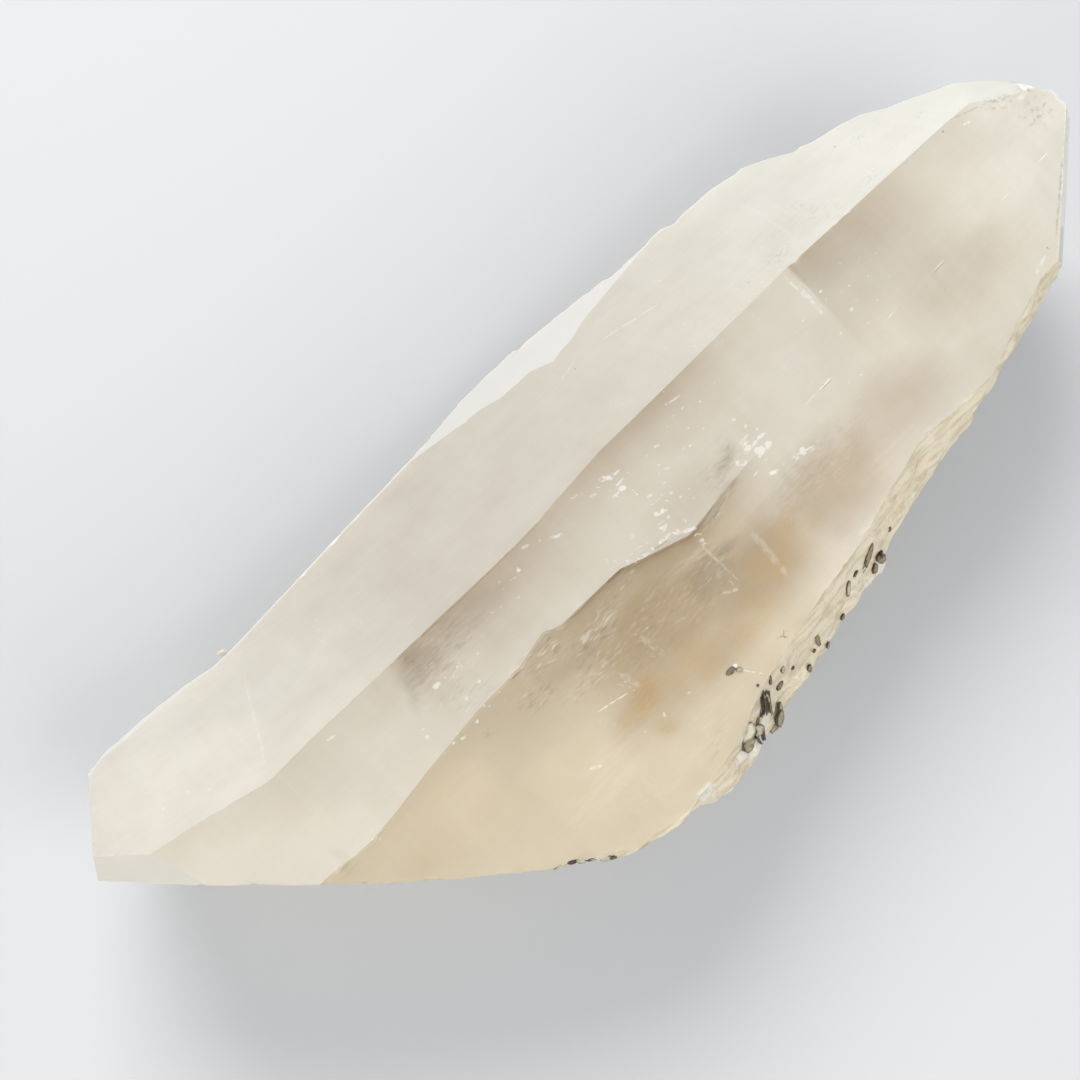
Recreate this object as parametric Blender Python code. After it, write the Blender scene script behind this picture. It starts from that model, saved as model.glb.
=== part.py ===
"""Quartz point with mica: one tapered, slightly tabular crystal that lies on its back face.

Metres, +Z up. The crystal's long axis is X, with the termination towards +X. The origin is under
the middle of the crystal, on the surface that it rests on. The numbers below are in millimetres
and degrees.
"""

import math
import random

import bmesh
import bpy
from mathutils import Vector, noise

MM = 0.001

# The crest between the two broad faces, as (x, y), with the crest's height and its fall to the tip
CREST = [
    (-95, 14.8), (-77, 11.4), (-68.5, 9.8), (-58.7, 7.5), (-53, 7.7), (-14, 7.7), (2, 9.1),
    (38, 9.7), (68, 9.2), (73.5, 8.9), (76.8, 6.5), (80, 5.3), (81.2, 4.2), (82.4, 2.7), (83, 2.0),
]
CREST_HEIGHT = 39.8
CREST_FALL = 0.02

# The faces' dips from the horizontal. Neighbours are about 60 degrees apart, as on any quartz.
SIDE_DIP = 51
BEVEL_DIP = 60
FRONT_DIP = 9
LOW_FRONT_DIP = 12
ROUGH_DIP = 66
BACK_SIDE_DIP = 68
BACK_FRONT_DIP = 55

# How far a crease in the side face runs towards the tip, for each millimetre down the face
CREASE_SLANT = 0.45

# The widest line on the side of the clean side face, as (x, y), with its ledges
SIDE_BORDER = [
    (-95, 28.2), (-76, 28.5), (-73, 29.6), (-66, 29.9), (-59, 29.6), (-54, 28.8), (-50, 29.2),
    (-41, 30.0), (-13, 32.6), (-8.5, 33.2), (-4.5, 34.2), (-1, 34.8), (4, 35.2), (9, 35.2),
    (11, 35.7), (12, 34.8), (16, 34.4), (20, 33.5), (26.4, 32.5), (27.6, 31.7), (34.5, 31.4),
    (36, 31.7), (38, 31.6), (39.5, 30.5), (41.4, 30.8), (47.3, 30.5), (51, 29.4), (52.4, 29.4),
    (55, 27.4), (58, 24.3), (58.8, 24.6), (60.2, 23.6), (64.7, 22.3), (67.3, 21.1), (69.5, 18.5),
    (72, 17.0), (74.5, 14.9), (77.3, 13.0), (79.6, 11.2), (80.6, 8.8), (81.5, 7.2), (81.7, 5.0),
    (82.5, 3.0), (83, 2.3),
]
LEAST_SIDE_WIDTH = 0.3
# The inner edge of the bevel along that line. Past its ends the bevel is a thin rim.
BEVEL_EDGE = [
    (-13, 32.3), (-4, 30.7), (-0.5, 30.2), (2.4, 29.0), (8, 28.7), (11, 26.9), (12.9, 27.4),
    (15, 27.5), (19, 28.8), (24, 29.6), (34, 31.2),
]
RIM_WIDTH = 0.3

# The ledge across the front face, as (x, y), and the height of its step along it, as (x, drop)
LEDGE = [
    (-95, -6.0), (-62, -6.3), (-55, -7.1), (-47.5, -6.6), (-44.8, -5.6), (-33, -5.3),
    (-25.4, -4.0), (-20.2, -2.8), (-18, -3.8), (-7, -3.8), (-4, -4.8), (3, -6.9), (14, -5.5),
    (40, -4.5), (83, -3.0),
]
LEDGE_DROP = [(-50, 0.1), (-30, 0.3), (-24, 0.9), (-8, 1.2), (6, 1.3), (16, 0.8), (28, 0.0)]
LEDGE_RUN = 0.9

# The inner edge of the rough strip, as (x, y)
STRIP_EDGE = [
    (-38, -26.2), (-30.4, -31.2), (-22, -32.4), (-18, -31.8), (-15.5, -31.4), (-10, -30.3),
    (-5, -28.1), (4.6, -25.6), (11, -24.7), (19.5, -23.2), (28, -20.9), (35, -19.2), (49, -19.6),
    (58, -16.6), (63.3, -14.9), (83, -13.0),
]
LEAST_STRIP_WIDTH = 0.3
# The widest line on the side of the rough strip, as (x, y)
STRIP_BORDER = [
    (-95, -22.0), (-45, -25.2), (-40, -26.2), (-36.5, -27.3), (-35.2, -28.9), (-33.1, -30.5),
    (-30.4, -31.6), (-24, -32.6), (-20.7, -33.0), (-18.6, -33.9), (-15.3, -34.4), (-9.8, -33.9),
    (-8.5, -33.2), (-6.6, -32.4), (-2.9, -32.5), (-1.8, -31.6), (2.3, -30.6), (8.4, -29.8),
    (13, -28.5), (18.8, -27.7), (22.2, -27.4), (22.9, -26.2), (27.3, -24.9), (35.2, -23.3),
    (37.3, -22.7), (42.5, -21.9), (46, -21.0), (48.7, -20.6), (51, -19.9), (56.6, -18.7),
    (61.7, -17.4), (64, -16.5), (67.2, -16.1), (83, -15.0),
]
# The strip's lumps: their height, and their length along the crystal and across it
LUMP_HEIGHT = 0.9
LUMP_LENGTH = 4.5
LUMP_WIDTH = 2.2
LUMP_PATTERN = 3.7

# Growth ledges across the two lower faces: from each x on, how far the face's foot is set back
SIDE_FOOT = [
    (-95, 0.4), (-68, 1.5), (-57, 0.3), (-38, 1.2), (-31, 2.0), (-12, 0.6), (6, 1.4), (19, 0.2),
    (33, 1.3), (48, 0.5),
]
FRONT_FOOT = [
    (-95, 0.5), (-49, 1.8), (-36, 0.2), (-22, 1.6), (-13, 2.6), (2, 0.9), (15, 1.9), (27, 0.3),
    (41, 1.5), (53, 0.6),
]
LEDGE_LENGTH = 0.8

# Broken ends. Each goes through two points of the plan at a height, and leans in going down.
BASE_BREAK = ((-72.8, 3.5), (-54.3, -14.4), 36.9, 8)
BASE_CORNER = ((-52.7, -14.5), (-39.6, -26.0), 34.0, 18)
TIP_STRIP = ((66.9, -15.0), (80.3, -4.6), 34, -24)
# The broken base is hollowed further down by flatter cuts.
LOW_BREAK = ((-76.5, 8.9), (-52.8, -13.8), 19, 33)
LOW_CORNER = ((-57.5, -9.4), (-38.0, -26.5), 14, 38)
LEANING_ENDS = (BASE_BREAK, BASE_CORNER, TIP_STRIP, LOW_BREAK, LOW_CORNER)

# Flat ends through three points each
BASE_END = ((-76.2, 28.2, 22.2), (-81.7, 16.9, 36.2), (-83.6, 14.9, 32.5))
BASE_FACET = ((-81.7, 16.9, 36.2), (-75.1, 9.2, 41.0), (-83.6, 14.9, 32.5))
LOW_END = ((-76.4, 28.3, 22.0), (-83.7, 14.8, 32.0), (-78.5, 14.0, 10.0))
TIP_END = ((67.4, -16.0, 31.0), (84.6, -0.3, 34.0), (66.2, -14.7, 20.0))
FLAT_ENDS = (BASE_END, BASE_FACET, LOW_END, TIP_END)

# The face under the tip lifts it off the surface: where it starts, and its slope.
TIP_LIFT_START = 56
TIP_LIFT_DIP = 33

# Small lumps of quartz on the rough strip, as (x, y, z) and radius
LUMPS = [
    ((-5.8, -30.9, 25.2), 1.1), ((21.4, -26.2, 23.4), 1.1), ((-11.4, -32.0, 27.2), 1.2),
    ((-18.5, -32.1, 30.2), 1.3), ((9.5, -28.2, 22.6), 1.0), ((30.4, -22.8, 26.6), 1.1),
    ((45.0, -20.0, 28.6), 0.9), ((-1.2, -30.0, 21.4), 0.9),
]
LUMP_ROUGHNESS = 0.35

# Etched hollows with three flat sides, as (x, y) on the top faces, radius, and turn
HOLLOWS = [
    ((76.6, 3.2), 1.6, 20), ((79.4, 0.4), 1.1, 75), ((73.4, 5.6), 0.9, 50),
    ((48.8, 14.6), 1.3, 35), ((40.3, 13.0), 1.5, 15),
]
HOLLOW_DEPTH = 0.35
HOLLOW_COVER = 1.0
HOLLOW_UNEVENNESS = 0.4

# Mica books: the middle, the radius, the number of plates, and the plates' facing as (azimuth, rise)
LOWER_BOOKS = [
    ((-4.7, -29.6, 28.0), 1.8, 4, (170, 15)),
    ((-4.3, -30.6, 25.8), 1.6, 4, (165, 20)),
    ((-6.6, -30.9, 28.0), 1.5, 4, (250, 50)),
    ((-8.6, -31.0, 28.9), 1.5, 3, (280, 55)),
    ((-10.4, -31.4, 29.3), 1.4, 3, (260, 60)),
    ((-3.2, -30.9, 24.4), 1.4, 4, (210, 20)),
]
UPPER_BOOKS = [
    ((20.6, -25.6, 26.9), 1.4, 3, (200, 35)),
    ((19.0, -26.0, 26.6), 1.3, 3, (170, 30)),
    ((22.0, -25.7, 26.0), 1.3, 3, (250, 45)),
    ((20.4, -26.5, 25.2), 1.1, 3, (300, 40)),
]
EDGE_BOOKS = [
    ((-38.1, -26.2, 33.8), 1.2, 2, (250, 50)),
    ((-36.8, -27.0, 33.6), 1.2, 3, (240, 55)),
    ((-35.3, -28.1, 33.2), 1.1, 2, (260, 50)),
    ((-33.9, -29.0, 32.9), 0.9, 2, (245, 50)),
]
CLUSTERS = {
    "mica_cluster_lower": (LOWER_BOOKS, 11),
    "mica_cluster_upper": (UPPER_BOOKS, 12),
    "mica_base_edge": (EDGE_BOOKS, 13),
}
PLATE_THICKNESS = 0.45
PLATE_OVERLAP = 0.15
PLATE_SLIP = 0.35
# The quartz stops short of the mica by this much.
CLEARANCE = 0.35

MIDDLE = Vector((0, 0, 20))
STATION_STEP = 2.5
FIRST_STATION = -92
LAST_STATION = 82.9
CLOSEST_STATIONS = 0.7


def tan(degrees):
    return math.tan(math.radians(degrees))


def along(line, x):
    """The value of a line of (x, value) points at x."""
    for (x0, v0), (x1, v1) in zip(line, line[1:]):
        if x <= x1:
            share = (x - x0) / (x1 - x0)
            return v0 + (v1 - v0) * min(max(share, 0.0), 1.0)
    return line[-1][1]


def stepped(line, x):
    """The value of a line of (x, value) ledges at x, with short slopes between them."""
    value = line[0][1]
    for at, after in line[1:]:
        share = min(max((x - at) / LEDGE_LENGTH, 0.0), 1.0)
        value += (after - value) * share
    return value


def crest_height(x):
    return CREST_HEIGHT - CREST_FALL * x


def side_height(x, y):
    """The clean side face. A bend in the crest carries on down it as a slanting crease."""
    bent_x = x - CREASE_SLANT * (y - along(CREST, x))
    return crest_height(x) - tan(SIDE_DIP) * (y - along(CREST, bent_x))


def front_height(x, y):
    """The broad front face, above its ledge and below it."""
    crest_y = along(CREST, x)
    ledge_y = along(LEDGE, x)
    if y >= ledge_y:
        return crest_height(x) - tan(FRONT_DIP) * (crest_y - y)
    foot_y = ledge_y - LEDGE_RUN
    foot_z = crest_height(x) - tan(FRONT_DIP) * (crest_y - foot_y) - along(LEDGE_DROP, x)
    return foot_z - tan(LOW_FRONT_DIP) * (foot_y - y)


def lump(x, z):
    """How far the rough strip stands out or in."""
    return LUMP_HEIGHT * noise.noise(Vector((x / LUMP_LENGTH, z / LUMP_WIDTH, LUMP_PATTERN)))


def section(x):
    """The crystal's outline across the long axis, as a closed ring of (y, z)."""
    crest_y, crest_z = along(CREST, x), crest_height(x)
    border_y = max(along(SIDE_BORDER, x), crest_y + LEAST_SIDE_WIDTH)
    bevel_y = border_y - RIM_WIDTH
    if BEVEL_EDGE[0][0] < x < BEVEL_EDGE[-1][0]:
        bevel_y = min(bevel_y, along(BEVEL_EDGE, x))
    bevel_y = max(bevel_y, (crest_y + border_y) / 2)
    rough_y = along(STRIP_BORDER, x)
    edge_y = max(along(STRIP_EDGE, x), rough_y + LEAST_STRIP_WIDTH)
    ledge_y = along(LEDGE, x)
    foot_y = ledge_y - LEDGE_RUN
    edge_z = front_height(x, edge_y)
    rough_z = edge_z - tan(ROUGH_DIP) * (edge_y - rough_y)
    bevel_z = side_height(x, bevel_y)
    border_z = bevel_z - tan(BEVEL_DIP) * (border_y - bevel_y)
    floor_side_y = border_y - border_z / tan(BACK_SIDE_DIP) - stepped(SIDE_FOOT, x)
    floor_front_y = rough_y + rough_z / tan(BACK_FRONT_DIP) + stepped(FRONT_FOOT, x)
    # Each corner of the outline with the number of steps from it to the next one
    corners = [
        (floor_side_y, 0.0, 2),
        (border_y, border_z, 1),
        (bevel_y, bevel_z, 7),
        (crest_y, crest_z, 3),
        (ledge_y, front_height(x, ledge_y), 1),
        (foot_y, front_height(x, foot_y), 4),
        (edge_y, edge_z, 4),
        (rough_y, rough_z, 4),
        (floor_front_y, 0.0, 4),
    ]
    ring = []
    for (y0, z0, count), (y1, z1, _) in zip(corners, corners[1:] + corners[:1]):
        for i in range(count):
            y = y0 + (y1 - y0) * i / count
            z = z0 + (z1 - z0) * i / count
            if y0 == bevel_y:
                z = side_height(x, y)
            if y0 == edge_y and i > 0:
                out = lump(x, z)
                y -= out * math.sin(math.radians(ROUGH_DIP))
                z += out * math.cos(math.radians(ROUGH_DIP))
            ring.append((y, z))
    return ring


def stations():
    """Where sections are taken: evenly, and at the bends of the two borders."""
    count = round((LAST_STATION - FIRST_STATION) / STATION_STEP)
    even = [FIRST_STATION + (LAST_STATION - FIRST_STATION) * i / count for i in range(count + 1)]
    bends = [x for x, _ in SIDE_BORDER + STRIP_BORDER if FIRST_STATION < x < LAST_STATION]
    kept = [FIRST_STATION, LAST_STATION]
    for x in bends + even:
        if min(abs(x - other) for other in kept) >= CLOSEST_STATIONS:
            kept.append(x)
    return sorted(kept)


def material(name, colour, roughness, metallic=0.0):
    made = bpy.data.materials.new(name)
    made.use_nodes = True
    shader = made.node_tree.nodes["Principled BSDF"]
    shader.inputs["Base Color"].default_value = (*colour, 1.0)
    shader.inputs["Roughness"].default_value = roughness
    shader.inputs["Metallic"].default_value = metallic
    return made


def object_from(bm, name, finish=None):
    """A mesh object in metres from a bmesh in millimetres. Without a finish it is a cutter."""
    bmesh.ops.scale(bm, vec=(MM, MM, MM), verts=bm.verts)
    mesh = bpy.data.meshes.new(name)
    bm.to_mesh(mesh)
    bm.free()
    obj = bpy.data.objects.new(name, mesh)
    bpy.context.scene.collection.objects.link(obj)
    if finish:
        mesh.materials.append(finish)
    else:
        obj.hide_render = True
        obj.display_type = "WIRE"
    return obj


def combine(obj, other, operation):
    """Joins another object to this one or cuts it out, with a Boolean modifier."""
    boolean = obj.modifiers.new(operation.lower(), "BOOLEAN")
    boolean.operation = operation
    boolean.solver = "EXACT"
    boolean.object = other


def cut(bm, point, normal):
    """Takes off what lies on the normal's side of a plane, and closes the cut with a flat face."""
    geometry = bm.verts[:] + bm.edges[:] + bm.faces[:]
    made = bmesh.ops.bisect_plane(
        bm, geom=geometry, dist=1e-5, plane_co=point, plane_no=normal, clear_outer=True
    )
    edges = [e for e in made["geom_cut"] if isinstance(e, bmesh.types.BMEdge)]
    bmesh.ops.contextual_create(bm, geom=edges)


def cut_leaning(bm, end):
    """Cuts a flat end that leans in by its angle as it goes down."""
    (x0, y0), (x1, y1), height, lean = end
    out = Vector((y1 - y0, x0 - x1, 0)).normalized()
    if out.x * x0 < 0:
        out.negate()
    normal = (out + Vector((0, 0, -tan(lean)))).normalized()
    cut(bm, Vector((x0, y0, height)), normal)


def cut_through(bm, points):
    """Cuts a flat end through three points, and keeps the side towards the crystal's middle."""
    a, b, c = (Vector(point) for point in points)
    normal = (b - a).cross(c - a).normalized()
    if normal.dot(a - MIDDLE) < 0:
        normal.negate()
    cut(bm, a, normal)


def crystal_body():
    """The crystal, lofted along its axis and cut off at its ends."""
    bm = bmesh.new()
    rings = [[bm.verts.new((x, y, z)) for y, z in section(x)] for x in stations()]
    for ring, after in zip(rings, rings[1:]):
        for i, vertex in enumerate(ring):
            j = (i + 1) % len(ring)
            bm.faces.new((vertex, after[i], after[j], ring[j]))
    bm.faces.new(rings[0])
    bm.faces.new(reversed(rings[-1]))
    bmesh.ops.recalc_face_normals(bm, faces=bm.faces)
    for end in LEANING_ENDS:
        cut_leaning(bm, end)
    for end in FLAT_ENDS:
        cut_through(bm, end)
    lift = Vector((tan(TIP_LIFT_DIP), 0, -1)).normalized()
    cut(bm, Vector((TIP_LIFT_START, 0, 0)), lift)
    bmesh.ops.triangulate(bm, faces=bm.faces)
    return bm


def quartz_lumps():
    """Small rough lumps, which are joined to the strip."""
    draw = random.Random(5)
    bm = bmesh.new()
    for middle, radius in LUMPS:
        made = bmesh.ops.create_icosphere(bm, subdivisions=1, radius=radius)
        for vertex in made["verts"]:
            vertex.co *= 1 + draw.uniform(-LUMP_ROUGHNESS, LUMP_ROUGHNESS)
            vertex.co += Vector(middle)
    return bm


def top_height(x, y):
    """The height of the top faces, on either side of the crest."""
    if y > along(CREST, x):
        return side_height(x, y)
    return front_height(x, y)


def etched_hollows():
    """Upside-down pyramids, which are cut out of the top faces."""
    draw = random.Random(8)
    bm = bmesh.new()
    for (x, y), radius, turn in HOLLOWS:
        mouth = Vector((x, y, top_height(x, y)))
        beside = Vector((x + radius, y, top_height(x + radius, y)))
        above = Vector((x, y + radius, top_height(x, y + radius)))
        up = (beside - mouth).cross(above - mouth).normalized()
        facing = Vector((0, 0, 1)).rotation_difference(up).to_matrix()
        # The pyramid goes on above the face, so its mouth there keeps the radius
        wide = radius * (HOLLOW_DEPTH + HOLLOW_COVER) / HOLLOW_DEPTH
        bottom = bm.verts.new(mouth - up * HOLLOW_DEPTH)
        rim = []
        for i in range(3):
            angle = math.radians(turn + 120 * i)
            reach = wide * draw.uniform(1 - HOLLOW_UNEVENNESS, 1 + HOLLOW_UNEVENNESS)
            corner = Vector((reach * math.cos(angle), reach * math.sin(angle), HOLLOW_COVER))
            rim.append(bm.verts.new(mouth + facing @ corner))
        bm.faces.new(rim)
        for i in range(3):
            bm.faces.new((rim[(i + 1) % 3], rim[i], bottom))
    return bm


def plate(middle, facing, radius, draw, grow):
    """One six-sided mica plate with uneven corners, grown on all sides for a pocket."""
    turn = Vector((0, 0, 1)).rotation_difference(facing).to_matrix()
    start = draw.uniform(0, math.pi)
    bm = bmesh.new()
    low, high = [], []
    for i in range(6):
        angle = start + i * math.pi / 3
        reach = radius * draw.uniform(0.75, 1.15) + grow
        for ring, z in ((low, -PLATE_THICKNESS / 2 - grow), (high, PLATE_THICKNESS / 2 + grow)):
            corner = Vector((reach * math.cos(angle), reach * math.sin(angle), z))
            ring.append(bm.verts.new(middle + turn @ corner))
    bm.faces.new(reversed(low))
    bm.faces.new(high)
    for i in range(6):
        j = (i + 1) % 6
        bm.faces.new((low[i], low[j], high[j], high[i]))
    bmesh.ops.triangulate(bm, faces=bm.faces)
    return bm


def mica_cluster(name, books, seed, finish=None, grow=0.0):
    """Stacks of plates, joined where they overlap."""
    draw = random.Random(seed)
    plates = []
    for middle, radius, count, (azimuth, rise) in books:
        around, up = math.radians(azimuth), math.radians(rise)
        facing = Vector(
            (math.cos(around) * math.cos(up), math.sin(around) * math.cos(up), math.sin(up))
        )
        for i in range(count):
            slip = Vector([draw.uniform(-PLATE_SLIP, PLATE_SLIP) for _ in range(3)])
            slip -= facing * slip.dot(facing)
            offset = (i - (count - 1) / 2) * (PLATE_THICKNESS - PLATE_OVERLAP)
            place = Vector(middle) + facing * offset + slip
            plates.append(plate(place, facing, radius, draw, grow))
    cluster = object_from(plates[0], name, finish)
    for i, bm in enumerate(plates[1:], 1):
        combine(cluster, object_from(bm, f"{name}_plate_{i}"), "UNION")
    return cluster


def main():
    for obj in list(bpy.data.objects):
        bpy.data.objects.remove(obj)
    quartz = material("quartz", (0.80, 0.75, 0.66), 0.25)
    mica = material("mica", (0.16, 0.13, 0.07), 0.3, 0.3)
    crystal = object_from(crystal_body(), "quartz_point", quartz)
    combine(crystal, object_from(quartz_lumps(), "lumps"), "UNION")
    combine(crystal, object_from(etched_hollows(), "hollows"), "DIFFERENCE")
    for name, (books, seed) in CLUSTERS.items():
        mica_cluster(name, books, seed, mica)
        pocket = mica_cluster(f"{name}_pocket", books, seed, grow=CLEARANCE)
        combine(crystal, pocket, "DIFFERENCE")


main()
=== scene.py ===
"""Looks of the quartz point with mica: its fine relief, its milky body, and the mica that grows on it.

Lengths in the tables are millimetres in the row frame, and MM turns them into Blender's metres.
"""

import math
import random

import bmesh
import bpy
import numpy as np
from mathutils import Matrix, Vector, noise

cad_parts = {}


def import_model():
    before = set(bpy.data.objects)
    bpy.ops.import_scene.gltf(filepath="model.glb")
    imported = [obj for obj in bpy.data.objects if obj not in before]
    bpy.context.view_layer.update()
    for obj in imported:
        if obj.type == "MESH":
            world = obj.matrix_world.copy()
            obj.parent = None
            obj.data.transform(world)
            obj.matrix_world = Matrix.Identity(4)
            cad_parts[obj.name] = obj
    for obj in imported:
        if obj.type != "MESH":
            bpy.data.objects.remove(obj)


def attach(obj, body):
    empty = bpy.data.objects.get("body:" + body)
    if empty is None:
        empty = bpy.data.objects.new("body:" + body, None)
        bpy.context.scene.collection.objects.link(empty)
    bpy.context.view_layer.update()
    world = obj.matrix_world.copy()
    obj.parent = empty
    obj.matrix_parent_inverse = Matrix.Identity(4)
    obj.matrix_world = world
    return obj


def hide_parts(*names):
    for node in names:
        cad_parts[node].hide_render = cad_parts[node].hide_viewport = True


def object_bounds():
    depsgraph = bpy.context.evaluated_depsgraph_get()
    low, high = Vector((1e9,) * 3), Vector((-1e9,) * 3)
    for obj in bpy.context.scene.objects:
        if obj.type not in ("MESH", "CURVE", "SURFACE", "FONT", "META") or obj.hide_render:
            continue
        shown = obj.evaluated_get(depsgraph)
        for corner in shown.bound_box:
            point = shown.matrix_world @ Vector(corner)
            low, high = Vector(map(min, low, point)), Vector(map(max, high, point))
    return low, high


MM = 0.001
BODY = "root"

# The camera, in the picture's own pixels and in millimetres
PICTURE_SIDE = 1080
FOCAL_PIXELS = 2200
SENSOR_WIDTH = 36
CAMERA_ELEVATION = 78
CAMERA_AZIMUTH = -44.33
CAMERA_AIM = (-11.4, 6.6, 36.0)
CAMERA_DISTANCE = 291.8

# The crest between the side face and the front face, as (x, y), with its height and its fall
CREST = [
    (-95, 14.8), (-77, 11.4), (-68.5, 9.8), (-58.7, 7.5), (-53, 7.7), (-14, 7.7), (2, 9.1),
    (38, 9.7), (68, 9.2), (73.5, 8.9), (76.8, 6.5), (80, 5.3), (81.2, 4.2), (82.4, 2.7), (83, 2.0),
]
CREST_HEIGHT = 39.8
CREST_FALL = 0.02

# The faces' dips from the horizontal, and how far a crease in the side face runs as it goes down
SIDE_DIP = 51
BEVEL_DIP = 60
FRONT_DIP = 9
LOW_FRONT_DIP = 12
ROUGH_DIP = 66
BACK_SIDE_DIP = 68
BACK_FRONT_DIP = 55
CREASE_SLANT = 0.45

# The widest line beside the side face, and the inner edge of the bevel along it
SIDE_BORDER = [
    (-95, 28.2), (-76, 28.5), (-73, 29.6), (-66, 29.9), (-59, 29.6), (-54, 28.8), (-50, 29.2),
    (-41, 30.0), (-13, 32.6), (-8.5, 33.2), (-4.5, 34.2), (-1, 34.8), (4, 35.2), (9, 35.2),
    (11, 35.7), (12, 34.8), (16, 34.4), (20, 33.5), (26.4, 32.5), (27.6, 31.7), (34.5, 31.4),
    (36, 31.7), (38, 31.6), (39.5, 30.5), (41.4, 30.8), (47.3, 30.5), (51, 29.4), (52.4, 29.4),
    (55, 27.4), (58, 24.3), (58.8, 24.6), (60.2, 23.6), (64.7, 22.3), (67.3, 21.1), (69.5, 18.5),
    (72, 17.0), (74.5, 14.9), (77.3, 13.0), (79.6, 11.2), (80.6, 8.8), (81.5, 7.2), (81.7, 5.0),
    (82.5, 3.0), (83, 2.3),
]
LEAST_SIDE_WIDTH = 0.3
BEVEL_EDGE = [
    (-13, 32.3), (-4, 30.7), (-0.5, 30.2), (2.4, 29.0), (8, 28.7), (11, 26.9), (12.9, 27.4),
    (15, 27.5), (19, 28.8), (24, 29.6), (34, 31.2),
]
RIM_WIDTH = [(-75, 0.3), (-69, 0.9), (-60, 0.8), (-56, 0.3)]

# The ledge across the front face, and the height of its step along it
LEDGE = [
    (-95, -6.0), (-62, -6.3), (-55, -6.9), (-50, -6.4), (-43.3, -5.4), (-38, -4.8), (-33.7, -4.3),
    (-25.4, -4.0), (-20.2, -2.8), (-18, -3.8), (-7, -3.8), (-4, -4.8), (3, -6.9), (14, -5.5),
    (40, -4.5), (83, -3.0),
]
LEDGE_DROP = [(-50, 0.1), (-30, 0.3), (-24, 0.9), (-8, 1.2), (6, 1.3), (16, 0.8), (28, 0.0)]
LEDGE_RUN = 0.9
# The part of the drop that shows as a sharp step, and the step's run
LEDGE_STEP = [(-50, 0.03), (-20, 0.08), (-15, 0.35), (-8, 0.6), (3, 0.45), (10, 0.15), (16, 0.0)]
STEP_RUN = 0.35

# The inner edge of the rough strip, and the widest line beside it
STRIP_EDGE = [
    (-38, -26.2), (-30.4, -31.2), (-22, -32.4), (-18, -31.8), (-15.5, -31.4), (-10, -30.3),
    (-5, -28.1), (4.6, -25.6), (11, -24.7), (19.5, -23.2), (28, -20.9), (35, -19.2), (49, -19.6),
    (58, -16.6), (63.3, -14.9), (83, -13.0),
]
LEAST_STRIP_WIDTH = 0.3
STRIP_BORDER = [
    (-95, -22.0), (-45, -25.2), (-40, -26.2), (-36.5, -27.3), (-35.2, -28.9), (-33.1, -30.5),
    (-30.4, -31.6), (-24, -32.6), (-20.7, -33.0), (-18.6, -33.9), (-15.3, -34.4), (-9.8, -33.9),
    (-8.5, -33.2), (-6.6, -32.4), (-2.9, -32.5), (-1.8, -31.6), (2.3, -30.6), (8.4, -29.8),
    (13, -28.5), (18.8, -27.7), (22.2, -27.4), (22.9, -26.2), (27.3, -24.9), (35.2, -23.3),
    (37.3, -22.7), (42.5, -21.9), (46, -21.0), (48.7, -20.6), (51, -19.9), (56.6, -18.7),
    (61.7, -17.4), (64, -16.5), (67.2, -16.1), (83, -15.0),
]
LUMP_HEIGHT = 0.9
LUMP_LENGTH = 4.5
LUMP_WIDTH = 2.2
LUMP_PATTERN = 3.7

# Growth ledges across the two lower faces: from each x on, how far the face's foot is set back
SIDE_FOOT = [
    (-95, 0.4), (-68, 1.5), (-57, 0.3), (-38, 1.2), (-31, 2.0), (-12, 0.6), (6, 1.4), (19, 0.2),
    (33, 1.3), (48, 0.5),
]
FRONT_FOOT = [
    (-95, 0.5), (-49, 1.8), (-36, 0.2), (-22, 1.6), (-13, 2.6), (2, 0.9), (15, 1.9), (27, 0.3),
    (41, 1.5), (53, 0.6),
]
LEDGE_LENGTH = 0.8

# Broken ends. Each goes through two points of the plan at a height, and leans in going down.
LEANING_ENDS = [
    ((-72.8, 3.5), (-54.3, -14.4), 36.9, 8),
    ((-52.7, -14.5), (-39.6, -26.0), 34.0, 18),
    ((66.9, -15.0), (80.3, -4.6), 34, -24),
    ((-76.5, 8.9), (-52.8, -13.8), 19, 33),
    ((-57.5, -9.4), (-38.0, -26.5), 14, 38),
]
# Flat ends through three points each
FLAT_ENDS = [
    ((-76.2, 28.2, 22.2), (-81.7, 16.9, 36.2), (-83.6, 14.9, 32.5)),
    ((-81.7, 16.9, 36.2), (-75.1, 9.2, 41.0), (-83.6, 14.9, 32.5)),
    ((-76.4, 28.3, 22.0), (-83.7, 14.8, 32.0), (-78.5, 14.0, 10.0)),
    ((67.4, -16.0, 31.0), (84.6, -0.3, 34.0), (66.2, -14.7, 20.0)),
]
TIP_LIFT_START = 56
TIP_LIFT_DIP = 33
MIDDLE = Vector((0, 0, 20))

# The fine mesh: its sections along the axis, and the steps along each side of a section
FIRST_STATION = -92
LAST_STATION = 82.9
STATION_STEP = 0.6
END_STEP = 0.8
SIDE, BEVEL, BACK_SIDE, UNDER, BACK_FRONT, STRIP, LOW_FRONT, LEDGE_FACE, FRONT = range(1, 10)
FIRST_END = 10
STEPS = {
    BACK_SIDE: 24, BEVEL: 6, SIDE: 56, FRONT: 22, LEDGE_FACE: 3, LOW_FRONT: 34, STRIP: 16,
    BACK_FRONT: 30, UNDER: 24,
}


# What each flat end is like: rough where it is broken, smooth where it grew
ROUGH_ENDS = (10, 11, 13, 14, 17)
SMOOTH_ENDS = (12, 15, 16, 18, 19)

FACE_MASKS = {
    "side": (SIDE,), "bevel": (BEVEL,), "strip": (STRIP,), "broken": ROUGH_ENDS,
    "tip_end": (12, 18), "base_end": (15, 16),
}
# From the first x to the second, the lower half of the front face takes on the upper half's tone
LOW_FADE = (2, 24)

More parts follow.
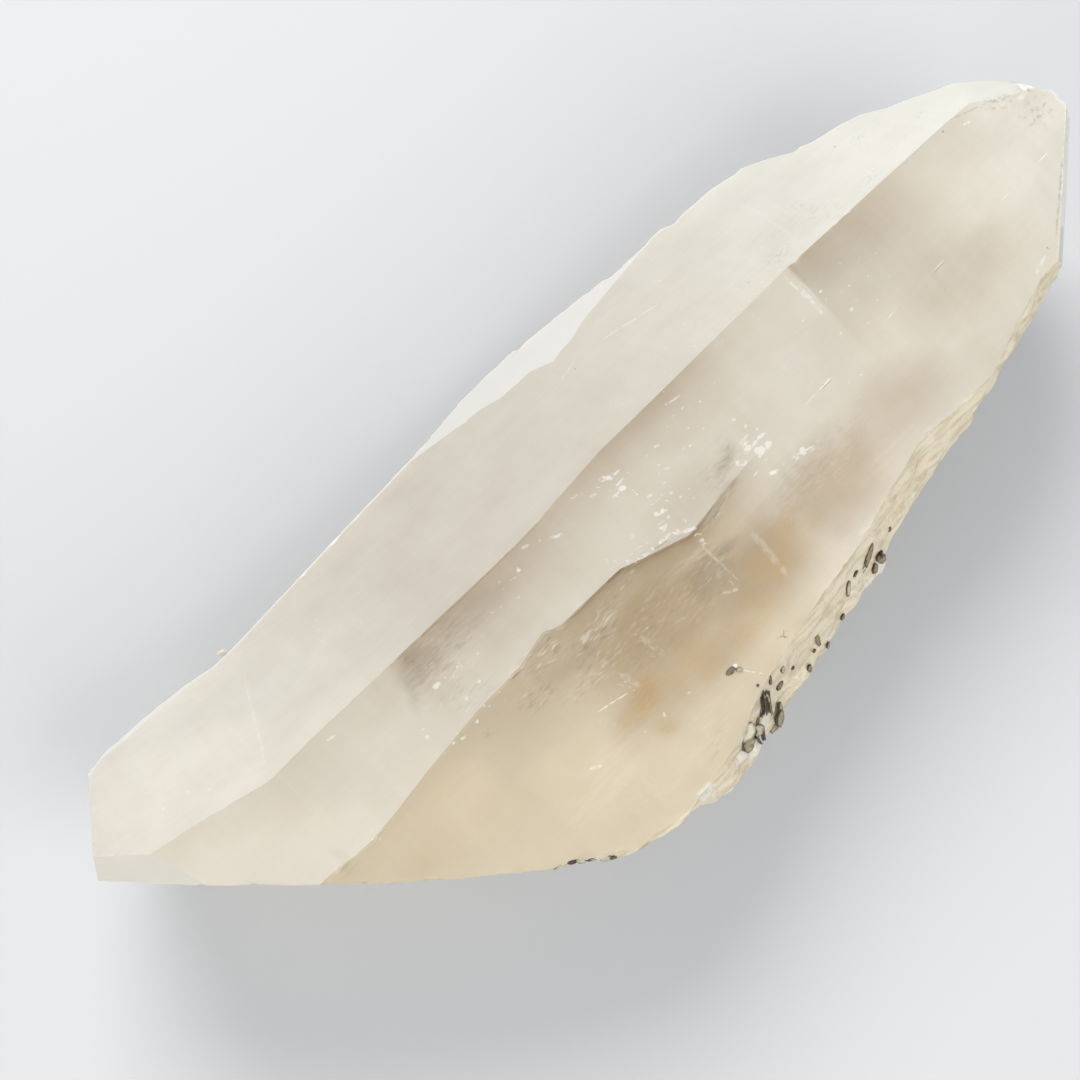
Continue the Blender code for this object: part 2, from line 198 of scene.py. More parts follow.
# Relief by zone: height and length of its waves, then of its finer grain, as (height, length)
FACE_WAVES = ((0.07, (13, 7, 7)), (0.012, (1.6, 1.2, 1.2)))
STRIP_WAVES = ((0.42, (3.8, 1.1, 1.1)), (0.16, (1.3, 0.55, 0.55)))
BREAK_WAVES = ((0.55, (6, 5, 5)), (0.16, (1.7, 1.5, 1.5)))
BACK_WAVES = ((0.16, (10, 6, 6)), (0.05, (2.2, 1.4, 1.4)))
BACK_TERRACE = (0.22, 4.5)
NICK_DEPTH = 0.4
NICK_LENGTH = 1.5
NICK_LEVEL = 0.22

# Growth steps across a face: (x, y) at their two ends, the height and the width
GROWTH_STEPS = [
    ((37.7, 9.7), (38.3, 1.2), 0.22, 0.9),
    ((36.6, 9.6), (37.0, 3.0), -0.10, 0.7),
    ((46.8, 24.0), (43.6, 10.8), 0.16, 0.9),
    ((48.6, 23.0), (45.6, 10.6), 0.10, 0.8),
    ((50.4, 19.0), (48.9, 11.0), -0.09, 0.8),
    ((41.2, 22.0), (39.8, 11.5), -0.08, 0.8),
]

# Small white lumps of quartz on the rough strip, as (x, y, z) and radius
LUMPS = [
    ((-6.0, -30.9, 25.6), 1.1), ((-9.2, -32.3, 24.8), 1.3), ((-11.4, -32.0, 27.2), 1.0),
    ((-18.5, -32.1, 30.2), 1.3), ((9.5, -28.2, 22.6), 1.0), ((21.4, -26.7, 23.0), 1.2),
    ((18.6, -26.9, 23.6), 0.9), ((30.4, -22.8, 26.6), 1.1), ((45.0, -20.0, 28.6), 0.9),
    ((-1.2, -30.0, 21.4), 0.9),
]
# Etched hollows on the top faces, as (x, y), radius and depth
HOLLOWS = [
    ((76.6, 3.2), 1.6, 0.3), ((79.4, 0.4), 1.1, 0.3), ((73.4, 5.6), 0.9, 0.3), ((48.8, 14.6), 1.0, 0.2),
    ((40.3, 13.0), 1.1, 0.2), ((33.6, 12.3), 0.6, 0.2), ((75.4, 6.4), 0.8, 0.4), ((78.0, 2.0), 0.8, 0.4),
    ((56.5, 9.9), 0.5, 0.2), ((50.2, 13.2), 0.6, 0.2), ((39.4, 11.2), 0.6, 0.2), ((81.3, 5.2), 1.2, 1.4),
    ((79.0, 5.4), 1.3, 0.5), ((76.8, 7.0), 1.2, 0.4),
]

# The side face's tone along the axis, as (x, strength)
SIDE_SHADE = [
    (-85, 0.05), (-62, 0.05), (-46, 0.13), (-28, 0.32), (2, 0.28), (24, 0.16), (45, 0.08), (60, 0.02),
]
# The front face's tone along the axis, as (x, strength)
FRONT_SHADE = [
    (-85, 0.0), (-50, 0.02), (-12, 0.10), (10, 0.09), (26, 0.0), (40, 0.09), (50, 0.22), (60, 0.18), (76, 0.08),
]
# The tan tone below the crest and below the ledge, as (x, strength, reach)
CREST_SHADE = [
    (-75, 0.10, 4), (-50, 0.20, 5), (-38.5, 0.28, 5), (-35.5, 0.78, 6), (-20, 0.66, 5.5),
    (-8, 0.45, 5), (4, 0.60, 4), (14, 0.70, 4.5), (24, 0.35, 5), (34, 0.12, 6), (37.9, 0.10, 9),
    (38.5, 0.62, 8), (48, 0.46, 9), (58, 0.22, 10), (72, 0.04, 10), (80, 0.0, 8),
]
LEDGE_SHADE = [
    (-64, 0.22, 8), (-40, 0.32, 9), (-25, 0.45, 8), (-14, 0.85, 7), (2, 0.90, 6), (10, 0.55, 5),
    (18, 0.10, 4), (28, 0.0, 4),
]
CLOUD_SHARE = 0.11
LINE_SHARE = 0.05

# Soft patches inside the crystal: (x, y), half length, half width, turn from the axis, strength
TAN = [
    ((-7, -12), 16, 8, -4, 0.80), ((7, -16), 13, 7, 0, 0.80), ((-20, -7.5), 12, 3.5, 4, 0.45),
    ((22, -15), 12, 7, 0, 0.72), ((-15, -19), 9, 5, 0, 0.45), ((-52, -16), 12, 6, 0, 0.10),
    ((12, 5), 10, 4, 0, 0.25), ((-24, 1), 14, 4, 0, 0.22), ((-3, -20), 10, 4, 0, 0.50),
    ((35, -14), 12, 7, 0, 0.36), ((54, -6), 12, 7, 0, 0.20), ((7, -3), 9, 3.5, 0, 0.16),
    ((19, -4), 5, 4, 0, 0.12), ((-34, 1), 8, 3, 0, 0.10),
]
SMOKE = [
    ((-34, 4.8), 4.6, 2.6, 0, 0.36), ((-24, 5.2), 8.0, 2.4, 0, 0.22), ((1.2, -12.4), 4.0, 3.0, 0, 0.45),
    ((5.8, -11.2), 2.6, 0.8, -3, 0.60), ((2.6, -11.0), 1.6, 0.8, 0, 0.5), ((-37.4, 4.0), 4.0, 0.9, 61, 0.34),
    ((-35.5, 6.4), 2.4, 0.9, 20, 0.4), ((42, 6.4), 5.0, 2.4, -20, 0.08), ((13.2, -3.4), 3.0, 1.0, 20, 0.35),
    ((10.0, -6.4), 4.6, 0.7, 14, 0.35), ((-59, -6.4), 1.0, 2.6, 10, 0.12), ((-18, -8.2), 7, 1.6, 0, 0.24),
    ((-6, -8.6), 7, 2.4, 0, 0.20),
]
AMBER = [
    ((-15.9, -17.9), 4.2, 2.6, 20, 0.80), ((-19, -18.6), 3.4, 1.8, 0, 0.55),
    ((-16.4, -22.5), 2.4, 1.4, 0, 0.5), ((-7.6, -18.2), 4.6, 3.0, 0, 0.48), ((-11, -19), 7, 3, 0, 0.35),
    ((-6, -9.5), 7.0, 3.0, 0, 0.30), ((8.3, -16.8), 5.4, 3.4, 0, 0.42), ((13.4, -14.6), 2.6, 2.4, 0, 0.36),
    ((-7.1, -21.4), 2.6, 2.0, 0, 0.35), ((-7, -14), 18, 7, 0, 0.22), ((1, -20), 8, 3, 0, 0.30),
    ((-50, -14), 9, 3, 0, 0.08),
]
HAZE = [
    ((-31, 1.0), 4.8, 1.7, -25, 0.5), ((3.5, -3.0), 6.5, 1.6, 20, 0.10), ((18.8, -4), 2.4, 4.0, 5, 0.10),
    ((0.7, -9.4), 5.5, 0.8, 0, 0.35), ((-42, -3), 9, 3, 0, 0.15), ((33, -18), 10, 2.5, 0, 0.4),
    ((-14, -27), 12, 3, 10, 0.4), ((-6, -1.5), 7, 2.0, 20, 0.2), ((-28, -22), 12, 4, 8, 0.4),
    ((-40, -10), 8, 3, 0, 0.2),
]
# Where the white specks show: painted glints, for light sparkling off small flaws inside the quartz
SPARKLE = [
    ((-10.3, 5.2), 3.0, 1.7, 0, 1.0), ((-0.6, 3.2), 2.8, 1.8, 0, 0.95), ((3.0, -3.4), 6.0, 3.0, 15, 1.0),
    ((-32, 1.6), 6.0, 2.0, -20, 0.95), ((18.6, -3.6), 3.0, 6.0, 5, 1.0), ((-5, -3.6), 7.0, 1.8, -10, 1.0),
    ((-27.4, -20.4), 3.4, 1.8, 0, 1.0), ((-18.4, -21.6), 3.4, 2.0, 0, 0.95), ((-12, -22.5), 5, 2, 0, 0.5),
    ((22, -9.3), 4.0, 1.6, -10, 0.9), ((-20, 4.6), 7.0, 3.0, 0, 0.65), ((12, 3), 14, 5, 0, 0.6),
    ((38, -2), 20, 12, 0, 0.40), ((30, 14), 40, 8, 0, 0.40), ((-70, 14), 9, 5, 0, 0.62),
    ((9, 26), 8, 3, 0, 0.62), ((-54, -7), 3, 1.5, 0, 0.5), ((-40, 20), 22, 9, 0, 0.42),
    ((-36, -3), 9, 4, 0, 0.7), ((-10, -16), 16, 8, 0, 0.36),
]
# Where the hatched flaws show: dark strokes, with painted glints between them
HATCH = [
    ((-22, -4.8), 5.0, 2.2, 8, 1.0), ((-26.7, -8.3), 3.6, 1.3, -12, 0.9),
    ((-15, -7.4), 5.6, 1.8, 6, 1.0), ((-8, -5.4), 6.0, 0.9, 6, 0.7), ((9.3, -6.8), 5.0, 1.0, 12, 0.6),
    ((-13.4, -29.0), 3.0, 1.4, 20, 0.5), ((-34.2, -7.1), 1.8, 0.7, 0, 0.5), ((-18, -11), 7, 2.5, 0, 0.6),
    ((22, -12), 12, 4, 0, 0.3), ((-31, 4.0), 8, 3.4, 0, 0.55), ((13, -3), 6, 2.4, 20, 0.5),
    ((49, 12), 5, 2.4, -60, 0.3), ((-59, -6.4), 1.6, 2.2, 0, 0.5),
    ((-6, -12), 12, 5, 0, 0.35), ((2, -12), 5, 4, 0, 0.4), ((-33, -1), 6, 3, -20, 0.35),
]
PITTED = [
    ((79.2, 1.6), 2.8, 2.4, 0, 1.0), ((75.6, 6.2), 3.2, 1.2, -20, 0.9), ((40.0, 12.6), 2.4, 1.4, 0, 0.6),
    ((48.8, 16.4), 2.6, 1.0, -60, 0.6), ((33.6, 12.3), 1.0, 0.8, 0, 0.7), ((56, 11.5), 3, 1, 0, 0.4),
    ((63, 18), 2, 1, 0, 0.5), ((69, 13), 1.5, 1, 0, 0.5),
]
PATCHES = {
    "smoke": SMOKE, "amber": AMBER, "haze": HAZE, "sparkle": SPARKLE, "hatch": HATCH, "pitted": PITTED,
}
PATCH_DEPTH = 16
PATCH_TOP = 38

# White streaks and bars: (x, y) at their two ends, half width and strength. Some are white veins and needles of
# the quartz, others painted glints along the ledge's edge and on a small dark inclusion.
PALE_LINES_AND_GLINTS = [
    ((17.0, 23.4), (26.2, 20.9), 0.16, 0.9), ((8.1, 23.0), (13.0, 24.2), 0.12, 0.6),
    ((-23.0, -14.8), (-17.3, -16.0), 0.12, 0.7), ((16.0, -8.3), (18.2, -8.9), 0.30, 0.8),
    ((20.2, -8.9), (24.1, -9.8), 0.14, 0.6), ((-11.0, -11.7), (-10.3, -15.9), 0.55, 0.18),
    ((9.6, -11.7), (9.1, -19.8), 0.60, 0.17), ((3.3, -8.6), (3.9, -15.8), 0.22, 0.22),
    ((-16.4, -13.2), (-15.6, -16.5), 0.50, 0.18), ((37.0, 9.3), (37.4, 1.8), 0.22, 0.45),
    ((38.0, 8.4), (38.3, 3.4), 0.14, 0.3), ((-51.6, 24.0), (-58.2, 8.6), 0.24, 0.45),
    ((1.0, -15.2), (3.4, -16.6), 0.28, 0.3), ((2.4, -6.0), (4.6, -6.9), 0.30, 0.7),
    ((63.4, -14.0), (66.4, -13.0), 0.30, 0.5), ((-4.1, -24.1), (-2.3, -26.5), 0.10, 0.9),
    ((-4.6, -22.9), (-4.0, -23.4), 0.22, 1.0), ((-1.0, -5.0), (1.4, -5.0), 0.28, 0.8),
    ((-10.9, 5.4), (-9.2, 4.4), 0.26, 0.6), ((0.2, 5.4), (2.4, 5.6), 0.20, 0.7),
    ((29.0, 24.9), (29.8, 23.8), 0.18, 0.7), ((46.4, 23.6), (43.0, 11.6), 0.18, 0.35),
    ((48.2, 22.0), (45.2, 11.4), 0.14, 0.25), ((12.6, 7.6), (15.4, 7.2), 0.16, 0.5),
    ((-71.9, 14.9), (-71.5, 14.5), 0.26, 0.9), ((-50.0, 6.2), (-48.6, 5.9), 0.18, 0.6),
    ((22.5, 8.9), (24.9, 8.6), 0.14, 0.5), ((-28.0, -19.6), (-26.4, -20.4), 0.26, 0.6),
    ((70.4, 7.4), (71.6, 7.0), 0.22, 0.7), ((-0.9, 6.4), (0.2, 6.2), 0.30, 0.7),
    ((0.2, 3.9), (1.3, 3.3), 0.38, 0.75), ((-5.6, 7.3), (-4.0, 6.9), 0.16, 0.5),
    ((-3.2, 5.7), (-2.2, 5.4), 0.18, 0.45), ((2.3, 0.5), (3.1, 0.3), 0.26, 0.6),
    ((4.8, -1.2), (5.6, -1.4), 0.26, 0.5), ((1.4, -1.8), (3.0, -2.2), 0.42, 0.75),
    ((3.6, -8.4), (4.1, -8.7), 0.28, 0.5), ((-7.8, -1.8), (-7.2, -2.0), 0.45, 0.4),
    ((-5.8, -3.8), (-5.2, -4.0), 0.38, 0.5), ((-4.0, -4.8), (-2.4, -4.9), 0.30, 0.6),
    ((-3.2, -1.7), (-2.2, -2.1), 0.50, 0.3), ((14.2, -4.2), (15.6, -5.4), 0.50, 0.7),
    ((16.0, -2.9), (18.4, -2.7), 0.28, 0.55), ((6.6, 1.6), (7.6, 1.2), 0.22, 0.35),
    ((-8.8, -9.4), (-7.8, -9.9), 0.22, 0.3), ((-14.6, 6.9), (-13.4, 6.6), 0.26, 0.4),
]
# Thin dark lines and dots, in the same form. Most are dark marks in the quartz; those along the ledge's step
# are painted shadow.
DARK_LINES_AND_SHADOWS = [
    ((-9.9, -3.9), (-6.2, -4.0), 0.17, 0.8), ((-2.2, -5.1), (0.5, -5.4), 0.12, 0.6),
    ((-38.0, 7.5), (-24.0, 7.45), 0.14, 0.35), ((-25.0, 7.45), (-8.0, 7.75), 0.14, 0.35),
    ((5.2, -8.0), (13.4, -5.7), 0.14, 0.5), ((2.3, -24.4), (4.1, -25.1), 0.11, 0.8),
    ((3.5, -25.2), (3.9, -24.3), 0.09, 0.6), ((10.0, -24.8), (11.8, -25.0), 0.12, 0.6),
    ((67.1, -12.5), (67.3, -12.5), 0.22, 1.0), ((67.5, 8.6), (67.9, 8.6), 0.22, 0.9),
    ((11.3, 22.8), (11.5, 22.8), 0.18, 0.7), ((-35.9, 6.4), (-34.6, 6.0), 0.25, 0.4),
    ((6.4, -12.0), (3.6, -11.2), 0.16, 0.4), ((60.2, 19.9), (60.6, 19.7), 0.16, 0.6),
    ((79.6, -3.5), (69.1, -12.4), 0.16, 0.5), ((69.5, 9.2), (74.8, 7.4), 0.15, 0.35),
    ((74.8, 7.4), (79.6, 6.2), 0.15, 0.35),
]
LINE_REACH = 1.0

# The quartz body's colours, some of them also used for painted light and painted shadow
FRONT_PALE = (0.69, 0.655, 0.57)
LOW_PALE = (0.61, 0.54, 0.395)
SIDE_PALE = (0.83, 0.81, 0.73)
# A paler colour for painted light, towards the tip and on the base's end facets
PAINTED_LIGHT_PALE = (0.86, 0.87, 0.81)
TAN_COLOUR = (0.36, 0.27, 0.16)
SMOKE_COLOUR = (0.22, 0.17, 0.115)
AMBER_COLOUR = (0.45, 0.285, 0.10)
HAZE_COLOUR = (0.74, 0.665, 0.53)
# The flecks' dark, also used for painted shadow along the ledge's step
FLECK_AND_SHADOW_COLOUR = (0.12, 0.09, 0.06)
PIT_COLOUR = (0.36, 0.37, 0.37)
# White for the specks, streaks, bevel and lumps, also used for painted glints and painted light on the edges
WHITE = (0.95, 0.95, 0.92)
STRIP_PALE = (0.84, 0.775, 0.61)
STRIP_DARK = (0.66, 0.57, 0.40)
END_COLOUR = (0.58, 0.62, 0.62)
MICA_DARK = (0.034, 0.024, 0.012)
MICA_BROWN = (0.175, 0.135, 0.060)
MICA_PALE = (0.37, 0.355, 0.245)

# Mica books: the middle, (half length, half width, depth), the sheets' facing and their long way
# as (azimuth, rise), and the tone from 0, dark, to 1, pale
LOWER_BOOKS = [
    ((-4.3, -29.4, 28.8), (2.2, 1.15, 1.5), (-39, 7), (75, 45), 0.44),
    ((-5.6, -29.5, 28.4), (1.4, 0.9, 0.5), (-30, 10), (80, 45), 0.35),
    ((-8.9, -30.5, 30.3), (1.6, 1.2, 0.5), (-95, 55), (20, 20), 0.80),
    ((-9.8, -31.5, 28.9), (1.5, 1.1, 0.5), (-80, 45), (40, 30), 0.72),
    ((-7.9, -31.1, 28.5), (1.4, 1.0, 0.5), (-100, 50), (0, 10), 0.90),
    ((-7.2, -32.0, 26.7), (1.5, 0.6, 0.7), (-40, 10), (60, 50), 0.00),
    ((-7.0, -30.4, 28.9), (1.8, 0.4, 0.3), (-60, 40), (20, 20), 0.05),
    ((-9.6, -30.6, 30.0), (1.3, 0.3, 0.3), (-110, 30), (70, 40), 0.0),
    ((-8.4, -32.0, 28.0), (1.1, 0.35, 0.4), (-20, 30), (80, 30), 0.05),
    ((-10.6, -31.9, 28.0), (0.9, 0.7, 0.4), (-120, 40), (10, 40), 0.60),
    ((-3.6, -32.0, 23.6), (1.6, 1.0, 0.7), (-70, 25), (50, 50), 0.55),
    ((-2.8, -31.2, 24.2), (1.3, 0.8, 0.5), (-50, 20), (60, 50), 0.65),
    ((-4.6, -32.3, 22.8), (1.3, 0.8, 0.5), (-90, 30), (20, 10), 0.50),
]
UPPER_BOOKS = [
    ((19.9, -25.0, 29.3), (1.9, 0.55, 0.5), (-80, 35), (25, 32), 0.50),
    ((18.9, -25.6, 28.0), (1.2, 0.5, 0.4), (-75, 30), (25, 30), 0.25),
    ((21.9, -26.2, 25.2), (0.9, 0.75, 0.7), (-100, 50), (70, 30), 0.35),
    ((22.3, -26.0, 26.0), (0.7, 0.5, 0.4), (-40, 20), (60, 40), 0.05),
    ((20.4, -26.7, 24.8), (1.0, 0.5, 0.5), (-85, 40), (40, 40), 0.45),
]
EDGE_BOOKS = [
    ((-39.4, -25.7, 33.8), (1.1, 0.22, 0.3), (-100, 30), (-32, -4), 0.0),
    ((-38.0, -26.5, 33.5), (0.8, 0.35, 0.4), (-110, 40), (-40, -10), 0.10),
    ((-36.9, -27.0, 33.2), (0.85, 0.6, 0.4), (-130, 62), (-42, -12), 0.95),
    ((-35.7, -28.0, 32.8), (0.9, 0.3, 0.35), (-110, 35), (-42, -12), 0.05),
    ((-34.4, -29.0, 32.3), (1.0, 0.6, 0.4), (-130, 62), (-42, -12), 0.95),
    ((-33.6, -29.7, 31.9), (0.6, 0.3, 0.4), (-110, 35), (-42, -12), 0.15),
]
SINGLE_FLAKES = [
    ((15.1, -26.3, 27.6), (1.5, 0.5, 0.3), (-80, 35), (40, 50), 0.75),
    ((12.6, -28.3, 23.7), (0.6, 0.45, 0.3), (-80, 30), (30, 20), 0.45),
    ((8.7, -29.6, 22.1), (0.7, 0.45, 0.3), (-70, 20), (60, 50), 0.60),
    ((7.4, -28.2, 26.0), (1.4, 0.5, 0.35), (-80, 40), (70, 50), 0.45),
    ((4.2, -30.1, 23.9), (0.8, 0.5, 0.35), (-80, 30), (60, 50), 0.35),
    ((2.0, -28.5, 27.0), (0.4, 0.35, 0.2), (-80, 40), (0, 0), 0.0),
    ((0.5, -27.8, 29.2), (0.75, 0.4, 0.25), (-80, 30), (60, 50), 0.75),
    ((-1.1, -29.0, 27.9), (1.0, 0.5, 0.3), (-80, 40), (10, 10), 0.30),
    ((-1.9, -27.7, 30.3), (0.9, 0.25, 0.2), (-80, 40), (50, 40), 0.30),
    ((-3.9, -27.1, 31.9), (0.28, 0.22, 0.15), (-95, 75), (0, 0), 0.0),
    ((-5.3, -23.3, 32.85), (1.0, 0.55, 0.25), (-90, 78), (0, -2), 0.10),
    ((-4.3, -23.9, 32.75), (0.6, 0.4, 0.2), (-80, 70), (-40, 0), 0.75),
    ((24.8, -24.5, 28.7), (0.4, 0.3, 0.2), (-80, 40), (20, 20), 0.40),
    ((17.1, -25.5, 28.4), (0.7, 0.3, 0.2), (-80, 30), (20, 20), 0.15),
    ((6.1, -28.9, 25.4), (0.4, 0.25, 0.2), (-80, 30), (20, 20), 0.2),
]
SHEET_CORNERS = 18
SHEET_SPACING = 0.16
SHEET_THICKNESS = 0.11
SHEET_SLIP = 0.10
SHEET_TILT = 0.05
SHEET_CURL = 0.03
MICA_PIECES = {
    "mica_lower_books": (LOWER_BOOKS, 21, "mica_cluster_lower"),
    "mica_upper_books": (UPPER_BOOKS, 22, "mica_cluster_upper"),
    "mica_edge_books": (EDGE_BOOKS, 23, "mica_base_edge"),
    "mica_single_flakes": (SINGLE_FLAKES, 24, None),
}

# A glassy chip that stands out of the side face's border
CHIP_PLACE = (-51.5, 29.5, 14.6)
CHIP_SIZE = (1.05, 0.48, 0.32)
CHIP_TURN = -30


# Helpers


def link(obj):
    bpy.context.scene.collection.objects.link(obj)
    return obj


def set_attribute(mesh, name, values):
    attribute = mesh.attributes.new(name, "FLOAT", "POINT")
    attribute.data.foreach_set("value", np.asarray(values, np.float32))


# Camera, light and floor


def add_camera():
    around, up = math.radians(CAMERA_AZIMUTH), math.radians(CAMERA_ELEVATION)
    back = Vector((math.sin(around) * math.cos(up), -math.cos(around) * math.cos(up), math.sin(up)))
    data = bpy.data.cameras.new("camera")
    data.sensor_width = SENSOR_WIDTH
    data.lens = FOCAL_PIXELS / PICTURE_SIDE * SENSOR_WIDTH
    data.clip_start = 0.01
    camera = link(bpy.data.objects.new("camera", data))
    camera.location = (Vector(CAMERA_AIM) + back * CAMERA_DISTANCE) * MM
    camera.rotation_mode = "QUATERNION"
    camera.rotation_quaternion = (-back).to_track_quat("-Z", "Y")
    bpy.context.scene.camera = camera


def add_light(name, place, target, size, power, colour):
    data = bpy.data.lights.new(name, "AREA")
    data.shape = "DISK"
    data.size = size
    data.energy = power
    data.color = colour
    light = link(bpy.data.objects.new(name, data))
    light.location = place
    direction = Vector(target) - Vector(place)
    light.rotation_mode = "QUATERNION"
    light.rotation_quaternion = direction.to_track_quat("-Z", "Y")


def add_studio():
    """A plain pale floor, a large soft light from the picture's upper left, and a soft world."""
    world = bpy.data.worlds.new("studio")
    world.use_nodes = True
    background = world.node_tree.nodes["Background"]
    background.inputs["Color"].default_value = (0.88, 0.92, 1.0, 1.0)
    background.inputs["Strength"].default_value = 0.64
    bpy.context.scene.world = world
    add_light("key", (0.20, 0.50, 0.60), (0, 0, 0.02), 0.5, 6.9, (1.0, 0.975, 0.94))
    add_light("fill", (0.05, -0.62, 0.52), (0, 0, 0.02), 0.7, 4.8, (1.0, 0.975, 0.94))
    add_light("side", (-0.66, -0.10, 0.30), (-0.03, 0, 0.02), 0.6, 3.0, (1.0, 0.98, 0.95))
    mesh = bpy.data.meshes.new("floor")
    half, low = 3.0, -0.0002
    mesh.from_pydata(
        [(-half, -half, low), (half, -half, low), (half, half, low), (-half, half, low)],
        [],
        [(0, 1, 2, 3)],
    )
    floor = link(bpy.data.objects.new("floor", mesh))
    finish = bpy.data.materials.new("floor")
    finish.use_nodes = True
    shader = finish.node_tree.nodes["Principled BSDF"]
    shader.inputs["Base Color"].default_value = (0.42, 0.43, 0.44, 1.0)
    shader.inputs["Roughness"].default_value = 0.8
    mesh.materials.append(finish)
    scene = bpy.context.scene
    scene.view_settings.view_transform = "Standard"


# The crystal's mesh


def tan(degrees):
    return math.tan(math.radians(degrees))


def along(line, x):
    """The value of a line of (x, value) points at x."""
    for (x0, v0), (x1, v1) in zip(line, line[1:]):
        if x <= x1:
            share = (x - x0) / (x1 - x0)
            return v0 + (v1 - v0) * min(max(share, 0.0), 1.0)
    return line[-1][1]


def stepped(line, x):
    """The value of a line of (x, value) ledges at x, with short slopes between them."""
    value = line[0][1]
    for at, after in line[1:]:
        share = min(max((x - at) / LEDGE_LENGTH, 0.0), 1.0)
        value += (after - value) * share
    return value


def crest_height(x):
    return CREST_HEIGHT - CREST_FALL * x


def side_height(x, y):
    """The clean side face. A bend in the crest carries on down it as a slanting crease."""
    bent_x = x - CREASE_SLANT * (y - along(CREST, x))
    return crest_height(x) - tan(SIDE_DIP) * (y - along(CREST, bent_x))


def front_height(x, y):
    """The broad front face, above its ledge and below it."""
    crest_y = along(CREST, x)
    ledge_y = along(LEDGE, x)
    if y >= ledge_y:
        return crest_height(x) - tan(FRONT_DIP) * (crest_y - y)
    foot_y = ledge_y - LEDGE_RUN
    foot_z = crest_height(x) - tan(FRONT_DIP) * (crest_y - foot_y) - along(LEDGE_DROP, x)
    return foot_z - tan(LOW_FRONT_DIP) * (foot_y - y)


def lump(x, z):
    """How far the rough strip stands out or in."""
    return LUMP_HEIGHT * noise.noise(Vector((x / LUMP_LENGTH, z / LUMP_WIDTH, LUMP_PATTERN)))


def section(x):
    """The crystal's outline across the long axis: a closed ring of (y, z) and each side's zone."""
    crest_y, crest_z = along(CREST, x), crest_height(x)
    border_y = max(along(SIDE_BORDER, x), crest_y + LEAST_SIDE_WIDTH)
    bevel_y = border_y - along(RIM_WIDTH, x)
    if BEVEL_EDGE[0][0] < x < BEVEL_EDGE[-1][0]:
        bevel_y = min(bevel_y, along(BEVEL_EDGE, x))
    bevel_y = max(bevel_y, (crest_y + border_y) / 2)
    rough_y = along(STRIP_BORDER, x)
    edge_y = max(along(STRIP_EDGE, x), rough_y + LEAST_STRIP_WIDTH)
    ledge_y = along(LEDGE, x)
    ledge_z = front_height(x, ledge_y)
    foot_y = ledge_y - STEP_RUN
    foot_z = ledge_z - tan(FRONT_DIP) * STEP_RUN - along(LEDGE_STEP, x)
    edge_z = front_height(x, edge_y)
    rough_z = edge_z - tan(ROUGH_DIP) * (edge_y - rough_y)
    bevel_z = side_height(x, bevel_y)
    border_z = bevel_z - tan(BEVEL_DIP) * (border_y - bevel_y)
    floor_side_y = border_y - border_z / tan(BACK_SIDE_DIP) - stepped(SIDE_FOOT, x)
    floor_front_y = rough_y + rough_z / tan(BACK_FRONT_DIP) + stepped(FRONT_FOOT, x)
    corners = [
        (floor_side_y, 0.0, BACK_SIDE),
        (border_y, border_z, BEVEL),
        (bevel_y, bevel_z, SIDE),
        (crest_y, crest_z, FRONT),
        (ledge_y, ledge_z, LEDGE_FACE),
        (foot_y, foot_z, LOW_FRONT),
        (edge_y, edge_z, STRIP),
        (rough_y, rough_z, BACK_FRONT),
        (floor_front_y, 0.0, UNDER),
    ]
    ring, zones = [], []
    for (y0, z0, zone), (y1, z1, _) in zip(corners, corners[1:] + corners[:1]):
        for i in range(STEPS[zone]):
            y = y0 + (y1 - y0) * i / STEPS[zone]
            z = z0 + (z1 - z0) * i / STEPS[zone]
            if zone == SIDE:
                z = side_height(x, y)
            if zone == STRIP and i > 0:
                out = lump(x, z)
                y -= out * math.sin(math.radians(ROUGH_DIP))
                z += out * math.cos(math.radians(ROUGH_DIP))
            ring.append((y, z))
            zones.append(zone)
    return ring, zones


def cut(bm, point, normal, zone):
    """Takes off what lies on the normal's side of a plane, and closes the cut with a flat face."""
    geometry = bm.verts[:] + bm.edges[:] + bm.faces[:]
    made = bmesh.ops.bisect_plane(
        bm, geom=geometry, dist=1e-5, plane_co=point, plane_no=normal, clear_outer=True
    )
    edges = [e for e in made["geom_cut"] if isinstance(e, bmesh.types.BMEdge)]
    layer = bm.faces.layers.int["zone"]
    for face in bmesh.ops.contextual_create(bm, geom=edges)["faces"]:
        face[layer] = zone


def cut_ends(bm):
    """Cuts the broken base and the faces at the tip. Each end gets a zone number of its own."""
    zone = FIRST_END
    for (x0, y0), (x1, y1), height, lean in LEANING_ENDS:
        out = Vector((y1 - y0, x0 - x1, 0)).normalized()
        if out.x * x0 < 0:
            out.negate()
        cut(bm, Vector((x0, y0, height)), (out + Vector((0, 0, -tan(lean)))).normalized(), zone)
        zone += 1
    for points in FLAT_ENDS:
        a, b, c = (Vector(point) for point in points)
        normal = (b - a).cross(c - a).normalized()
        if normal.dot(a - MIDDLE) < 0:
            normal.negate()
        cut(bm, a, normal, zone)
        zone += 1
    lift = Vector((tan(TIP_LIFT_DIP), 0, -1)).normalized()
    cut(bm, Vector((TIP_LIFT_START, 0, 0)), lift, zone)
    return zone


